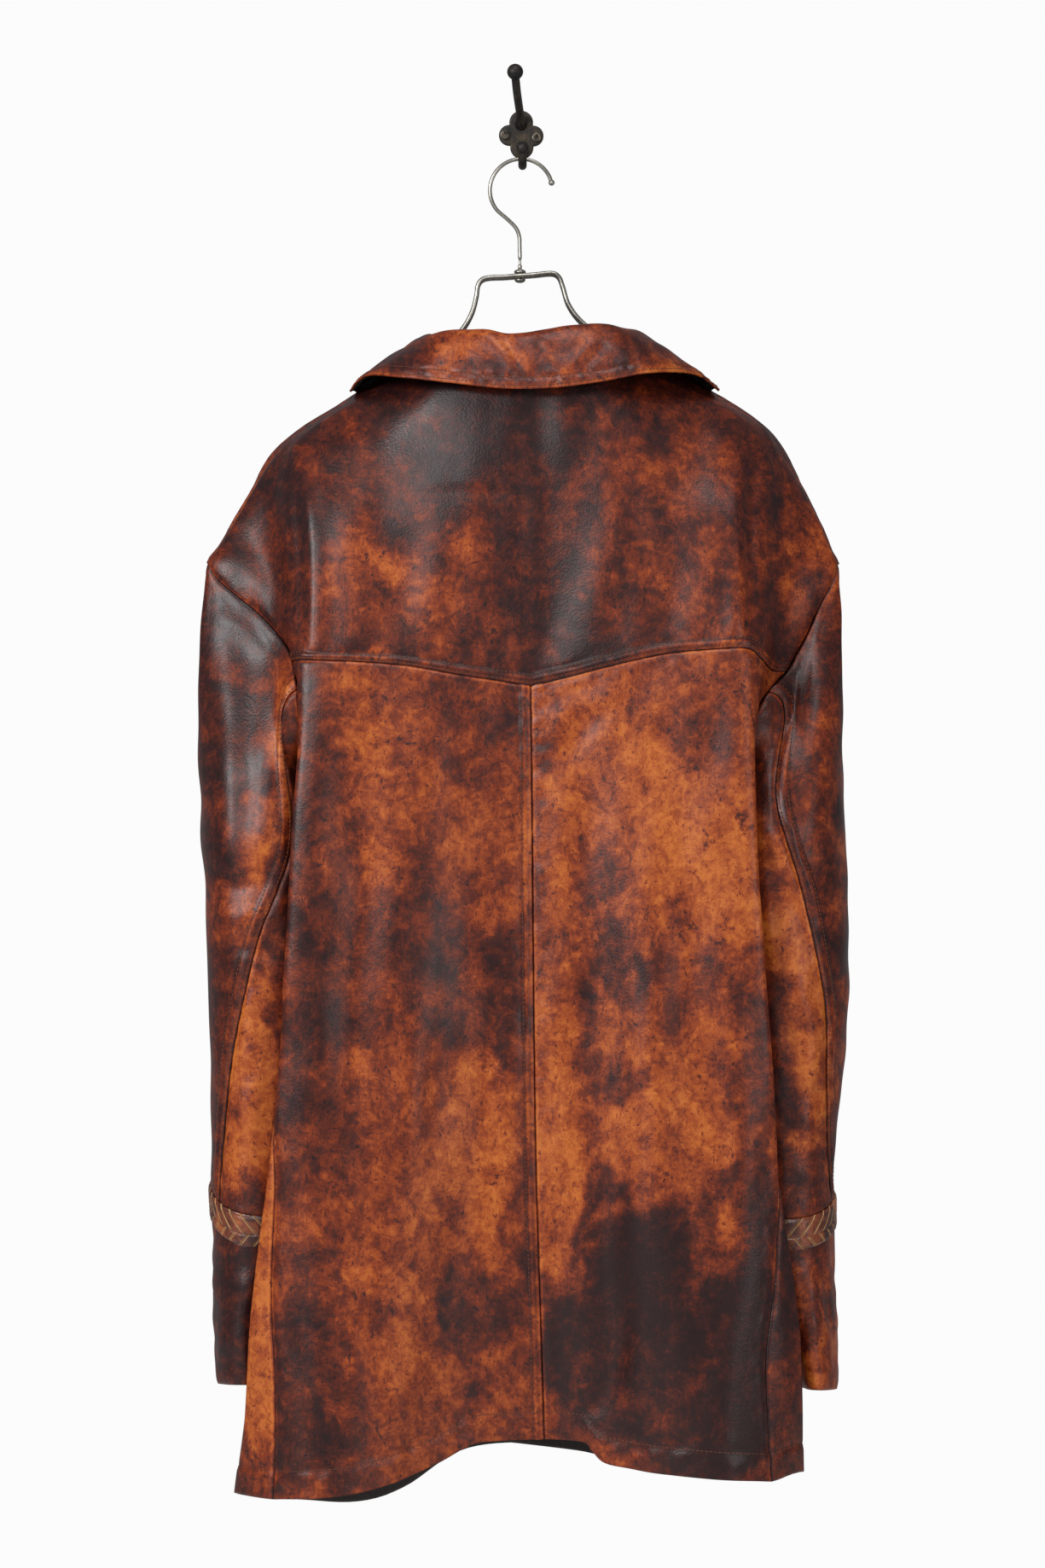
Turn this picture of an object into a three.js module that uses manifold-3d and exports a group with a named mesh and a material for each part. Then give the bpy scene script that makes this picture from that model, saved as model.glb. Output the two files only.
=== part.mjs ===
// A worn leather coat on a two-rod steel hanger, held by a cast wall hook.
// Millimetres. +X is right as seen from the room, +Y goes into the wall, +Z is up.
// The wall is y = 0 and the origin is the middle of the wall hook's back face.
// The back of the coat faces the room, and "down" below is the distance under the origin.
import * as THREE from "three";
import Module from "manifold-3d";

const LEATHER = 1.5; // wall of the body, sleeves and cuffs
const SEAM_GAP = 0.36; // between two pieces at a seam
const OVERLAP = 2.6; // how far the right front lies under the left one
const ARM_STEPS = 24; // steps round an armhole
const YOKE_STEPS = 7; // of these, down to the yoke's lower seam
const ELBOW_STEP = 8; // where the elbow seam meets the armhole
const INNER_STEP = 16; // where the hidden sleeve seam meets it
const SHOULDER_ROWS = 8;
const SIDE_ROWS = 15;
const PANEL_COLUMNS = 12;
const FRONT_COLUMNS = 8;
const SLEEVE_ROWS = 12;
const COLLAR_COLUMNS = 34;
const BRAID_HEIGHT = 23;
const ROD = 1.75; // radius of the hanger's rods
const HOOK_WIRE = 1.55;
const HANGER_DEPTH = -30; // y of the hanger's middle plane
const SEAT = 0.3; // clearance where one thing rests on another
const EYE = [1, -3600, -511.8]; // the outline was measured from here
const MEASURED_AT = -125; // y of the plane that it was measured in, at the coat's back

const wasm = await Module();
wasm.setup();
const { Manifold } = wasm;

// A smooth curve through rows of numbers whose first one is the parameter.
function along(keys, at) {
  const last = keys.length - 1;
  if (at <= keys[0][0]) return keys[0].slice(1);
  if (at >= keys[last][0]) return keys[last].slice(1);
  let i = 0;
  while (at > keys[i + 1][0]) i++;
  const a = keys[i];
  const b = keys[i + 1];
  const h = b[0] - a[0];
  const t = (at - a[0]) / h;
  const p = keys[i - 1];
  const q = keys[i + 2];
  return a.slice(1).map((_, n) => {
    const k = n + 1;
    const chord = (b[k] - a[k]) / h;
    const m0 = p ? (chord + (a[k] - p[k]) / (a[0] - p[0])) / 2 : chord;
    const m1 = q ? (chord + (q[k] - b[k]) / (q[0] - b[0])) / 2 : chord;
    const t2 = t * t;
    const t3 = t2 * t;
    return (
      (2 * t3 - 3 * t2 + 1) * a[k] +
      (t3 - 2 * t2 + t) * h * m0 +
      (3 * t2 - 2 * t3) * b[k] +
      (t3 - t2) * h * m1
    );
  });
}

const keyed = (points) => points.map((p, i) => [i, ...p]);
const through = (points, t) => along(keyed(points), t * (points.length - 1));
const smooth = (a, b, v) => {
  const t = Math.min(1, Math.max(0, (v - a) / (b - a)));
  return t * t * (3 - 2 * t);
};
const vec = (p) => new THREE.Vector3(...p);

// What lies deeper than the measured plane is larger than it looks there.
function deepened(p) {
  const k = (p.y - EYE[1]) / (MEASURED_AT - EYE[1]);
  p.x = EYE[0] + (p.x - EYE[0]) * k;
  p.z = EYE[2] + (p.z - EYE[2]) * k;
  return p;
}

// The body is drawn on rings. Each column runs down the coat, [down, x, y].
// Column 0 is the centre back, 3 the crest that falls from the hanger's end,
// 5 the shoulder line and the side, and 8 the centre front.
const CENTRE_BACK = [
  [165, 3, -88], [200, 4, -93], [252, 4, -97], [343, 5, -99], [436, 7, -104], [508, 8, -106],
  [630, 9, -108], [792, 11, -108], [930, 15, -104], [1060, 19, -98],
];
const CENTRE_FRONT = [[165, 1, -14], [300, 1, -13], [420, 2, -8], [1080, 3, -8]];
const COLUMNS = {
  left: [
    [
      [165, -16, -84], [200, -30, -92], [252, -42, -98], [343, -48, -103], [432, -48, -109],
      [630, -50, -117], [792, -50, -119], [930, -48, -116], [1060, -44, -111],
    ],
    [
      [165, -30, -72], [200, -58, -86], [252, -98, -88], [303, -104, -98], [343, -105, -103],
      [432, -106, -112], [630, -112, -125], [792, -124, -134], [930, -138, -142], [1060, -150, -149],
    ],
    [
      [165, -42, -58], [200, -86, -64], [218, -116, -60], [240, -150, -58], [252, -162, -64],
      [278, -167, -76], [303, -167, -88], [343, -166, -98], [383, -165, -106], [432, -166, -113],
      [486, -168, -119], [551, -172, -124], [629, -176, -127], [727, -182, -128], [792, -188, -127],
      [850, -195.5, -124], [893, -200, -121], [930, -203.5, -119], [966, -206, -118], [1016, -210, -114],
      [1052, -214, -110],
    ],
    [
      [165, -48, -46], [200, -97, -47], [218, -126, -45], [252, -176, -46], [278, -187, -52],
      [303, -190, -58], [343, -191, -66], [383, -188, -74], [420, -178, -80], [450, -167, -86],
      [486, -158, -94], [551, -160, -102], [630, -163, -104], [792, -178, -104], [893, -189, -101],
      [966, -194, -97], [1010, -202, -90], [1056, -210, -82],
    ],
    [
      [165, -50, -30], [172, -60, -30], [191, -90, -30], [218.5, -131, -30], [246, -172.5, -30],
      [253.5, -181.5, -30.3], [261, -188, -31.5], [278.5, -199.5, -34], [303, -214, -38],
      [331, -231, -44], [343, -239.5, -47], [430, -196, -52],
      [508, -140, -54], [560, -134, -54], [630, -134, -54], [792, -142, -54], [893, -152, -54],
      [966, -160, -54], [1010, -180, -50], [1060, -198, -46],
    ],
    [
      [165, -48, -16], [200, -97, -15.5], [252, -174, -15], [303, -196, -14], [343, -206, -15],
      [383, -190, -15], [430, -160, -15], [508, -126, -15], [630, -118, -14], [792, -124, -14],
      [966, -142, -14], [1010, -158, -14], [1078, -172, -14],
    ],
    [
      [165, -30, -15], [200, -52, -15], [290, -90, -13.5], [400, -90, -9], [508, -72, -9],
      [630, -66, -9], [966, -80, -9], [1078, -92, -10],
    ],
  ],
  right: [
    [
      [165, 20, -84], [200, 34, -92], [252, 50, -98], [343, 56, -103], [432, 56, -109],
      [630, 58, -117], [792, 60, -119], [930, 58, -116], [1060, 56, -111],
    ],
    [
      [165, 36, -72], [200, 64, -86], [252, 104, -88], [303, 110, -98], [343, 111, -103],
      [432, 112, -112], [630, 116, -125], [792, 126, -134], [930, 140, -142], [1060, 150, -148],
    ],
    [
      [165, 52, -58], [190, 84, -62], [218, 132, -58], [234, 158, -58], [247, 168, -64],
      [278, 172, -76], [303, 172, -88], [343, 170, -98], [383, 171, -106], [432, 174, -113],
      [486, 175, -119], [538, 177, -124], [584, 179, -127], [643, 183, -128], [713, 188, -128],
      [758, 190.5, -127], [827, 195, -125], [882, 204, -121], [930, 210, -119], [966, 211, -118],
      [1016, 212, -114], [1052, 213, -110],
    ],
    [
      [165, 60, -46], [190, 95, -46], [218, 146, -45], [241, 183, -45], [262, 192, -50],
      [278, 197, -54], [303, 200, -60], [343, 202, -68], [383, 200, -75], [420, 192, -80],
      [450, 182, -86], [486, 169, -94], [551, 165, -102], [630, 168, -104], [792, 181, -104],
      [893, 193, -101], [966, 197, -97], [1010, 202, -90], [1056, 206, -82],
    ],
    [
      [160, 62, -30], [165, 71, -30], [183.5, 100, -30], [217, 151, -30], [235, 178, -30],
      [242.5, 187, -30.3], [250, 193, -31.5], [265.5, 202, -34], [299, 221.5, -38],
      [337.6, 239, -45], [344, 242, -47], [430, 204, -52],
      [512, 146, -54], [560, 140, -54], [630, 140, -54], [792, 148, -54], [893, 156, -54],
      [966, 164, -54], [1010, 180, -50], [1060, 192, -46],
    ],
    [
      [160, 58, -16], [190, 101, -15.5], [241, 179, -15], [303, 204, -14], [343, 212, -15],
      [383, 196, -15], [430, 166, -15], [512, 132, -15], [630, 124, -14], [792, 130, -14],
      [966, 144, -14], [1010, 156, -14], [1060, 168, -14],
    ],
    [
      [160, 34, -15], [200, 60, -15], [290, 96, -13.5], [400, 94, -9], [508, 78, -9],
      [630, 72, -9], [966, 84, -9], [1060, 92, -10],
    ],
  ],
};

// The knot of column n at a level, with n going round the coat from -8 to 8.
function knot(n, down) {
  const k = ((((n + 8) % 16) + 16) % 16) - 8;
  if (k === 0) return along(CENTRE_BACK, down);
  if (k === -8) return along(CENTRE_FRONT, down);
  return along(COLUMNS[k < 0 ? "left" : "right"][Math.abs(k) - 1], down);
}

// A point of the coat's outer face, from its place round the ring and its level.
function body([s, down]) {
  const i = Math.floor(s);
  const t = s - i;
  const [p0, p1, p2, p3] = [i - 1, i, i + 1, i + 2].map((n) => knot(n, down));
  const xy = p1.map((_, k) => {
    const m1 = (p2[k] - p0[k]) / 2;
    const m2 = (p3[k] - p1[k]) / 2;
    const t2 = t * t;
    const t3 = t2 * t;
    return (
      (2 * t3 - 3 * t2 + 1) * p1[k] +
      (t3 - 2 * t2 + t) * m1 +
      (3 * t2 - 2 * t3) * p2[k] +
      (t3 - t2) * m2
    );
  });
  return deepened(vec([xy[0], xy[1], -down]));
}

function bodyNormal([s, down]) {
  const across = body([s + 0.03, down]).sub(body([s - 0.03, down]));
  const fall = body([s, down + 0.8]).sub(body([s, down - 0.8]));
  return fall.cross(across).normalize();
}

// Seams, as [place round the ring, down].
const SEAMS = {
  left: {
    shoulder: [[5, 175], [5, 214], [5, 252], [5, 290], [5, 343]],
    armYoke: [[5, 343], [4.76, 355], [4.38, 376], [4.02, 399], [3.62, 419]],
    armBack: [[3.62, 419], [3.36, 436], [3.5, 462], [4.05, 487], [4.6, 503], [5, 508]],
    armFront: [
      [5, 508], [5.45, 502], [5.85, 478], [6.05, 440], [6.05, 400], [5.75, 364], [5.35, 347], [5, 343],
    ],
    side: [
      [5, 508], [4.7, 580], [4.2, 660], [3.6, 730], [3.15, 780], [2.9, 820], [2.78, 893],
      [2.7, 930], [2.62, 966], [2.5, 1057],
    ],
    neckFront: [[5, 175], [5.6, 177], [6.3, 184], [7, 201], [7.5, 225], [8.25, 252]],
    hemBack: [
      [2.5, 1057], [2.1, 1056.5], [1.78, 1053], [1.5, 1044], [1.25, 1032], [1, 1019], [0.75, 1013],
      [0, 1011],
    ],
    hemFront: [
      [2.5, 1057], [3.2, 1052], [4, 1053], [5, 1055], [6, 1057], [6.6, 1058.5], [7, 1047], [7.5, 1018],
      [8.25, 1012],
    ],
  },
  right: {
    shoulder: [[5, 170], [5, 208], [5, 247], [5, 290], [5, 344]],
    armYoke: [[5, 344], [4.86, 355], [4.66, 376], [4.62, 400], [4.55, 426]],
    armBack: [[4.55, 426], [4.25, 440], [4.05, 456], [4.15, 480], [4.6, 503], [5, 512]],
    armFront: [
      [5, 512], [5.45, 506], [5.85, 480], [6.05, 440], [6.05, 400], [5.75, 364], [5.35, 348], [5, 344],
    ],
    side: [
      [5, 512], [4.7, 600], [4.1, 710], [3.5, 780], [3.1, 830], [2.88, 858], [2.72, 899],
      [2.6, 931], [2.55, 966], [2.56, 1043.5],
    ],
    neckFront: [[5, 170], [5.6, 172], [6.3, 180], [7, 199], [7.5, 225], [8.25, 252]],
    hemBack: [
      [2.56, 1043.5], [2, 1042], [1.6, 1038], [1.35, 1034], [1.1, 1029], [0.95, 1019], [0.8, 1013],
      [0, 1011],
    ],
    hemFront: [
      [2.56, 1043.5], [3, 1036], [4, 1037], [5, 1040], [6, 1039], [7, 1032], [7.5, 1020], [8.25, 1012],
    ],
  },
};
const NECK_BACK = [
  [-5, 175], [-4.2, 180], [-3.4, 186], [-2.4, 193], [-1.2, 199], [0, 200], [1.2, 198], [2.4, 191],
  [3.4, 183], [4.2, 176], [5, 170],
];
const YOKE_LEFT = [[3.3, 417.5], [2.8, 417], [1.8, 420.5], [0.9, 429], [0, 436.5]];
const YOKE_RIGHT = [
  [0, 436.5], [0.6, 430], [1.2, 422], [1.9, 413], [2.4, 409.5], [3, 408], [3.4, 417], [4.1, 425.5],
];

// Points on a seam at equal lengths of the coat's own face.
function spaced(seam, steps, sign) {
  const fine = [];
  for (let i = 0; i <= 240; i++) {
    const [s, down] = through(seam, i / 240);
    fine.push([sign * s, down]);
  }
  const run = [0];
  for (let i = 1; i < fine.length; i++) {
    run.push(run[i - 1] + body(fine[i]).distanceTo(body(fine[i - 1])));
  }
  const whole = run[run.length - 1];
  const rows = run.map((r, i) => [r, ...fine[i]]);
  const points = [];
  for (let i = 0; i <= steps; i++) {
    points.push(along(rows, (whole * i) / steps));
  }
  return points;
}

// A grid whose four edges are given. The bends of top and bottom fade quickly inwards.
function patch(top, bottom, first, last) {
  const m = top.length - 1;
  const n = first.length - 1;
  return first.map((_, j) =>
    top.map((_, i) => {
      const u = i / m;
      const v = j / n;
      return [0, 1].map(
        (k) =>
          (1 - u) * first[j][k] +
          u * last[j][k] +
          (1 - v) ** 3 * (top[i][k] - (1 - u) * top[0][k] - u * top[m][k]) +
          v ** 3 * (bottom[i][k] - (1 - u) * bottom[0][k] - u * bottom[m][k]),
      );
    }),
  );
}

// A grid of outer points and normals becomes a closed wall.
// "trim" names the edges that stand back from a seam: top, bottom, first, last.
function wall(points, normals, options = {}) {
  const { thick = LEATHER, wrap = false, flip = false, trim = [], raise = null, ease = null } = options;
  const n = points.length;
  const m = points[0].length;
  const shift = (p, q, more = 0) => {
    const d = q.clone().sub(p);
    return d.multiplyScalar((SEAM_GAP / 2 + more) / d.length());
  };
  const moved = points.map((row) => row.map((p) => p.clone()));
  for (let j = 0; j < n; j++) {
    for (let i = 0; i < m; i++) {
      if (j === 0 && trim.includes("top")) moved[j][i].add(shift(points[j][i], points[1][i], ease ? ease(i) : 0));
      if (j === n - 1 && trim.includes("bottom")) moved[j][i].add(shift(points[j][i], points[n - 2][i]));
      if (i === 0 && trim.includes("first")) moved[j][i].add(shift(points[j][i], points[j][1]));
      if (i === m - 1 && trim.includes("last")) moved[j][i].add(shift(points[j][i], points[j][m - 2]));
    }
  }
  const outer = moved.map((row, j) =>
    row.map((p, i) => (raise ? p.clone().addScaledVector(normals[j][i], raise(i, j)) : p)),
  );
  const inner = moved.map((row, j) => row.map((p, i) => p.clone().addScaledVector(normals[j][i], -thick)));
  const flat = [];
  const at = (side, j, i) => (side * n + j) * m + (wrap ? i % m : i);
  for (const side of [outer, inner]) {
    for (const row of side) {
      for (const p of row) flat.push(p.x, p.y, p.z);
    }
  }
  const faces = [];
  const quad = (a, b, c, d) => {
    if (flip) faces.push(a, c, b, a, d, c);
    else faces.push(a, b, c, a, c, d);
  };
  const columns = wrap ? m : m - 1;
  for (let j = 0; j < n - 1; j++) {
    for (let i = 0; i < columns; i++) {
      quad(at(0, j, i), at(0, j + 1, i), at(0, j + 1, i + 1), at(0, j, i + 1));
      quad(at(1, j, i), at(1, j, i + 1), at(1, j + 1, i + 1), at(1, j + 1, i));
    }
    if (!wrap) {
      quad(at(0, j, 0), at(1, j, 0), at(1, j + 1, 0), at(0, j + 1, 0));
      quad(at(0, j, m - 1), at(0, j + 1, m - 1), at(1, j + 1, m - 1), at(1, j, m - 1));
    }
  }
  for (let i = 0; i < columns; i++) {
    quad(at(0, 0, i), at(0, 0, i + 1), at(1, 0, i + 1), at(1, 0, i));
    quad(at(0, n - 1, i), at(1, n - 1, i), at(1, n - 1, i + 1), at(0, n - 1, i + 1));
  }
  const geometry = new THREE.BufferGeometry();
  geometry.setAttribute("position", new THREE.Float32BufferAttribute(flat, 3));
  geometry.setIndex(faces);
  return geometry;
}

function solid(geometry) {
  const mesh = new wasm.Mesh({
    numProp: 3,
    vertProperties: geometry.attributes.position.array,
    triVerts: new Uint32Array(geometry.index.array),
  });
  return new Manifold(mesh);
}

function geometryOf(manifold) {
  const mesh = manifold.getMesh();
  const geometry = new THREE.BufferGeometry();
  geometry.setAttribute("position", new THREE.BufferAttribute(new Float32Array(mesh.vertProperties), 3));
  geometry.setIndex(new THREE.BufferAttribute(new Uint32Array(mesh.triVerts), 1));
  return geometry;
}

const root = new THREE.Group();
function add(name, geometry, colour) {
  const mesh = new THREE.Mesh(geometry, new THREE.MeshStandardMaterial({ color: colour }));
  mesh.name = name;
  root.add(mesh);
}

const TAN = 0xa8441f;
const DARK = 0x4a211b;
const BAND = 0x2b1a18;
const STEEL = 0xa9a79c;
const IRON = 0x2e2723;

// Sleeves. A place round a sleeve is 0 outside, 0.25 to the room, 0.5 inside and 0.75 to the wall.
const SLEEVES = {
  left: {
    sign: -1,
    leave: 0.12, // how far outward the head leaves the armhole
    rings: [
      [560, 196, 47, 49], [591, 195, 46, 49], [640, 195, 44.5, 48], [700, 196, 41.5, 47],
      [760, 198, 38, 46], [818, 202, 34.5, 45], [850, 204, 31, 45], [893, 207, 28, 45],
      [930, 210, 24, 46], [975, 214, 18.5, 46],
    ],
    elbow: [
      [0, 0.3333], [0.2, 0.33], [0.32, 0.315], [0.45, 0.25], [0.6, 0.195], [0.75, 0.145],
      [0.88, 0.12], [1, 0.1],
    ],
    braid: (a) => 818 + 20 * Math.sin(2 * Math.PI * a) + 3 * (1 - Math.cos(2 * Math.PI * a)),
    end: (a) => 968 + 2 * Math.sin(2 * Math.PI * a),
  },
  right: {
    sign: 1,
    leave: 0.08,
    rings: [
      [560, 200, 47.5, 49], [591, 202, 47, 49], [640, 204, 45.5, 48], [690, 205, 44, 47],
      [748, 204, 39.5, 46], [792, 203, 36, 45], [830, 205, 33.5, 45], [879, 210, 29, 45],
      [930, 220, 21, 46], [975, 228, 14, 46],
    ],
    elbow: [
      [0, 0.3333], [0.2, 0.29], [0.32, 0.24], [0.45, 0.2], [0.6, 0.155], [0.75, 0.13],
      [0.88, 0.095], [1, 0.05],
    ],
    braid: (a) => 825 + 17 * Math.sin(2 * Math.PI * a) + 1.5 * (1 - Math.cos(2 * Math.PI * a)),
    end: (a) => 972 + 2 * Math.sin(2 * Math.PI * a),
  },
};
const SLEEVE_Y = -60;
const ARM_LEVEL = 560; // where the sleeve has become a level ring

function sleeveRing(sleeve, a, down) {
  const [cx, hx, hy] = along(sleeve.rings, down);
  const c = Math.cos(2 * Math.PI * a);
  const s = Math.sin(2 * Math.PI * a);
  const round = (v) => Math.sign(v) * Math.abs(v) ** 0.9;
  return deepened(vec([sleeve.sign * (cx + hx * round(c)), SLEEVE_Y - hy * round(s), -down]));
}

// From the armhole (v = 0) to the plait (v = 1).
function sleevePoint(sleeve, arm, a, v) {
  const head = 0.32;
  if (v >= head) {
    const down = ARM_LEVEL + ((sleeve.braid(a) - ARM_LEVEL) * (v - head)) / (1 - head);
    return sleeveRing(sleeve, a, down);
  }
  const t = v / head;
  const k = (((a % 1) + 1) % 1) * ARM_STEPS;
  const i = Math.floor(k) % ARM_STEPS;
  const p = [-1, 0, 1, 2].map((d) => arm[(i + d + ARM_STEPS) % ARM_STEPS]);
  const f = k - Math.floor(k);
  const start = p[1]
    .clone()
    .multiplyScalar(2)
    .addScaledVector(p[2].clone().sub(p[0]), f)
    .add(p[0].clone().multiplyScalar(2).addScaledVector(p[1], -5).addScaledVector(p[2], 4).sub(p[3]).multiplyScalar(f * f))
    .add(p[1].clone().multiplyScalar(3).sub(p[0]).addScaledVector(p[2], -3).add(p[3]).multiplyScalar(f * f * f))
    .multiplyScalar(0.5);
  const stop = sleeveRing(sleeve, a, ARM_LEVEL);
  const reach = start.distanceTo(stop);
  const below = sleeveRing(sleeve, a, ARM_LEVEL + 10).sub(stop).normalize();
  const place = ((a % 1) + 1) % 1;
  const clear = smooth(0.26, 0.38, place) * (1 - smooth(0.48, 0.56, place));
  const inside = smooth(0.14, 0.26, place) * (1 - smooth(0.6, 0.8, place));
  const near = sleeve.leave + (0.4 - sleeve.leave) * inside;
  const outward = near + (1.12 - near) * clear;
  const leave = vec([sleeve.sign * outward, 0.25 * clear, 0.62 * clear - 0.9]);
  const c1 = start.clone().addScaledVector(leave, reach * 0.25);
  const c2 = stop.clone().addScaledVector(below, -reach * 0.4);
  const w = 1 - t;
  return start
    .multiplyScalar(w * w * w)
    .addScaledVector(c1, 3 * w * w * t)
    .addScaledVector(c2, 3 * w * t * t)
    .addScaledVector(stop, t * t * t);
}

const armPoints = {};
const armNormals = {};
for (const side of ["left", "right"]) {
  const sleeve = SLEEVES[side];
  const seams = SEAMS[side];
  const half = ARM_STEPS / 2;
  const places = [
    ...spaced(seams.armYoke, YOKE_STEPS, sleeve.sign).slice(0, YOKE_STEPS),
    ...spaced(seams.armBack, half - YOKE_STEPS, sleeve.sign).slice(0, half - YOKE_STEPS),
    ...spaced(seams.armFront, half, sleeve.sign).slice(0, half),
  ];
  armPoints[side] = places;
  const arm = places.map((p) => body(p));
  const own = (a, v) => {
    const across = sleevePoint(sleeve, arm, a + 0.004, v).sub(sleevePoint(sleeve, arm, a - 0.004, v));
    const fall = sleevePoint(sleeve, arm, a, Math.min(1, v + 0.01)).sub(
      sleevePoint(sleeve, arm, a, Math.max(0, v - 0.01)),
    );
    return fall.cross(across).normalize().multiplyScalar(-sleeve.sign);
  };
  // Both walls share a mitre where the coat bulges, and keep their own normals in the armpit,
  // where they leave the seam side by side.
  const mitre = (mine, other) => {
    const both = mine.clone().add(other).normalize();
    return mine.clone().lerp(both, smooth(-0.2, 0.4, mine.dot(other))).normalize();
  };
  const bodyOwn = places.map((p) => bodyNormal(p));
  const sleeveOwn = places.map((_, k) => own(k / ARM_STEPS, 0));
  armNormals[side] = places.map((_, k) => mitre(bodyOwn[k], sleeveOwn[k]));
  const sleeveNormals = places.map((_, k) => mitre(sleeveOwn[k], bodyOwn[k]));
  const piece = (from, to, a0, a1) => {
    const points = [];
    const normals = [];
    const columns = to - from;
    for (let j = 0; j <= SLEEVE_ROWS; j++) {
      const v = j / SLEEVE_ROWS;
      const pr = [];
      const nr = [];
      for (let i = 0; i <= columns; i++) {
        const a = a0(v) + ((a1(v) - a0(v)) * i) / columns;
        const k = (from + i + ARM_STEPS) % ARM_STEPS;
        pr.push(j === 0 ? arm[k].clone() : sleevePoint(sleeve, arm, a, v));
        nr.push(j === 0 ? sleeveNormals[k] : own(a, v));
      }
      points.push(pr);
      normals.push(nr);
    }
    // At the armpit sleeve and side hang face to face, so the sleeve starts a little lower.
    return wall(points, normals, {
      flip: sleeve.sign > 0,
      trim: ["top", "bottom", "first", "last"],
      ease: (i) => {
        const k = (from + i + ARM_STEPS) % ARM_STEPS;
        return 0.6 * smooth(5, 7, k) * (1 - smooth(12, 14, k));
      },
    });
  };
  const elbow = (v) => along(sleeve.elbow, v)[0];
  const inner = (v) => INNER_STEP / ARM_STEPS + 0.02 * v;
  add("sleeve_top_" + side, piece(INNER_STEP - ARM_STEPS, ELBOW_STEP, (v) => inner(v) - 1, elbow), DARK);
  add("sleeve_under_" + side, piece(ELBOW_STEP, INNER_STEP, elbow, inner), TAN);

  const band = (rows, columns, from, to, options) => {
    const points = [];
    const normals = [];
    for (let j = 0; j <= rows; j++) {
      const pr = [];
      const nr = [];
      for (let i = 0; i < columns; i++) {
        const a = i / columns;
        const down = from(a) + ((to(a) - from(a)) * j) / rows;
        const across = sleeveRing(sleeve, a + 0.004, down).sub(sleeveRing(sleeve, a - 0.004, down));
        const fall = sleeveRing(sleeve, a, down + 1).sub(sleeveRing(sleeve, a, down - 1));
        pr.push(sleeveRing(sleeve, a, down));
        nr.push(fall.cross(across).normalize().multiplyScalar(-sleeve.sign));
      }
      points.push(pr);
      normals.push(nr);
    }
    return wall(points, normals, {
      wrap: true,
      flip: sleeve.sign > 0,
      trim: ["top", "bottom"],
      ...options,
    });
  };
  const under = (a) => sleeve.braid(a) + BRAID_HEIGHT;
  // The plait's straps cross as raised squares set slantwise.
  add(
    "braid_" + side,
    band(4, 36, (a) => sleeve.braid(a) + SEAM_GAP, (a) => under(a) - SEAM_GAP, { raise: (i, j) => ((i + j) % 2 ? 1.5 : 0.5) }),
    BAND,
  );
  add("cuff_" + side, band(4, 24, under, sleeve.end, {}), side === "left" ? DARK : TAN);
}

// The body's panels share their seam points, so their walls run side by side.
const shared = {};
for (const side of ["left", "right"]) {
  const sign = SLEEVES[side].sign;
  const seams = SEAMS[side];
  shared[side] = {
    shoulder: spaced(seams.shoulder, SHOULDER_ROWS, sign),
    side: spaced(seams.side, SIDE_ROWS, sign),
    hemBack: spaced(seams.hemBack, PANEL_COLUMNS, sign),
    hemFront: spaced(seams.hemFront, FRONT_COLUMNS, sign),
    neckFront: spaced(seams.neckFront, FRONT_COLUMNS, sign),
    arm: armPoints[side],
  };
}
// A straight edge at one place round the ring, cut at the levels where the rows change pace.
function upright(place, levels, rows) {
  const points = [[place, levels[0]]];
  rows.forEach((count, n) => {
    for (let i = 1; i <= count; i++) {
      points.push([place, levels[n] + ((levels[n + 1] - levels[n]) * i) / count]);
    }
  });
  return points;
}
const centre = upright(0, [436.5, 510, 1011], [ARM_STEPS / 2 - YOKE_STEPS, SIDE_ROWS]);

function panel(name, colour, grid, options, override = {}) {
  const points = grid.map((row) => row.map((p) => body(p)));
  const normals = grid.map((row) => row.map((p) => bodyNormal(p)));
  if (override.normal) {
    for (const [j, i, normal] of override.normal) normals[j][i] = normal.clone();
  }
  if (override.sink) {
    grid.forEach((row, j) =>
      row.forEach((p, i) => points[j][i].addScaledVector(normals[j][i], -override.sink(p))),
    );
  }
  add(name, wall(points, normals, options), colour);
}

const yokeArm = (side) => [...shared[side].shoulder, ...shared[side].arm.slice(1, YOKE_STEPS + 1)];
const neckBack = spaced(NECK_BACK, 2 * PANEL_COLUMNS, 1);
const corner = (side) => {
  const [s, down] = shared[side].arm[YOKE_STEPS];
  return [Math.abs(s), down];
};
const seamLeft = spaced([corner("left"), ...YOKE_LEFT], PANEL_COLUMNS, -1);
const seamRight = spaced([...YOKE_RIGHT, corner("right")], PANEL_COLUMNS, 1);
const yokeSeam = [...seamLeft, ...seamRight.slice(1)];
const yokeNormals = [];
for (let k = 0; k <= YOKE_STEPS; k++) {
  yokeNormals.push([SHOULDER_ROWS + k, 0, armNormals.left[k]]);
  yokeNormals.push([SHOULDER_ROWS + k, 2 * PANEL_COLUMNS, armNormals.right[k]]);
}
panel(
  "back_yoke",
  DARK,
  patch(neckBack, yokeSeam, yokeArm("left"), yokeArm("right")),
  { trim: ["top", "bottom", "first", "last"] },
  { normal: yokeNormals },
);

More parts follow.
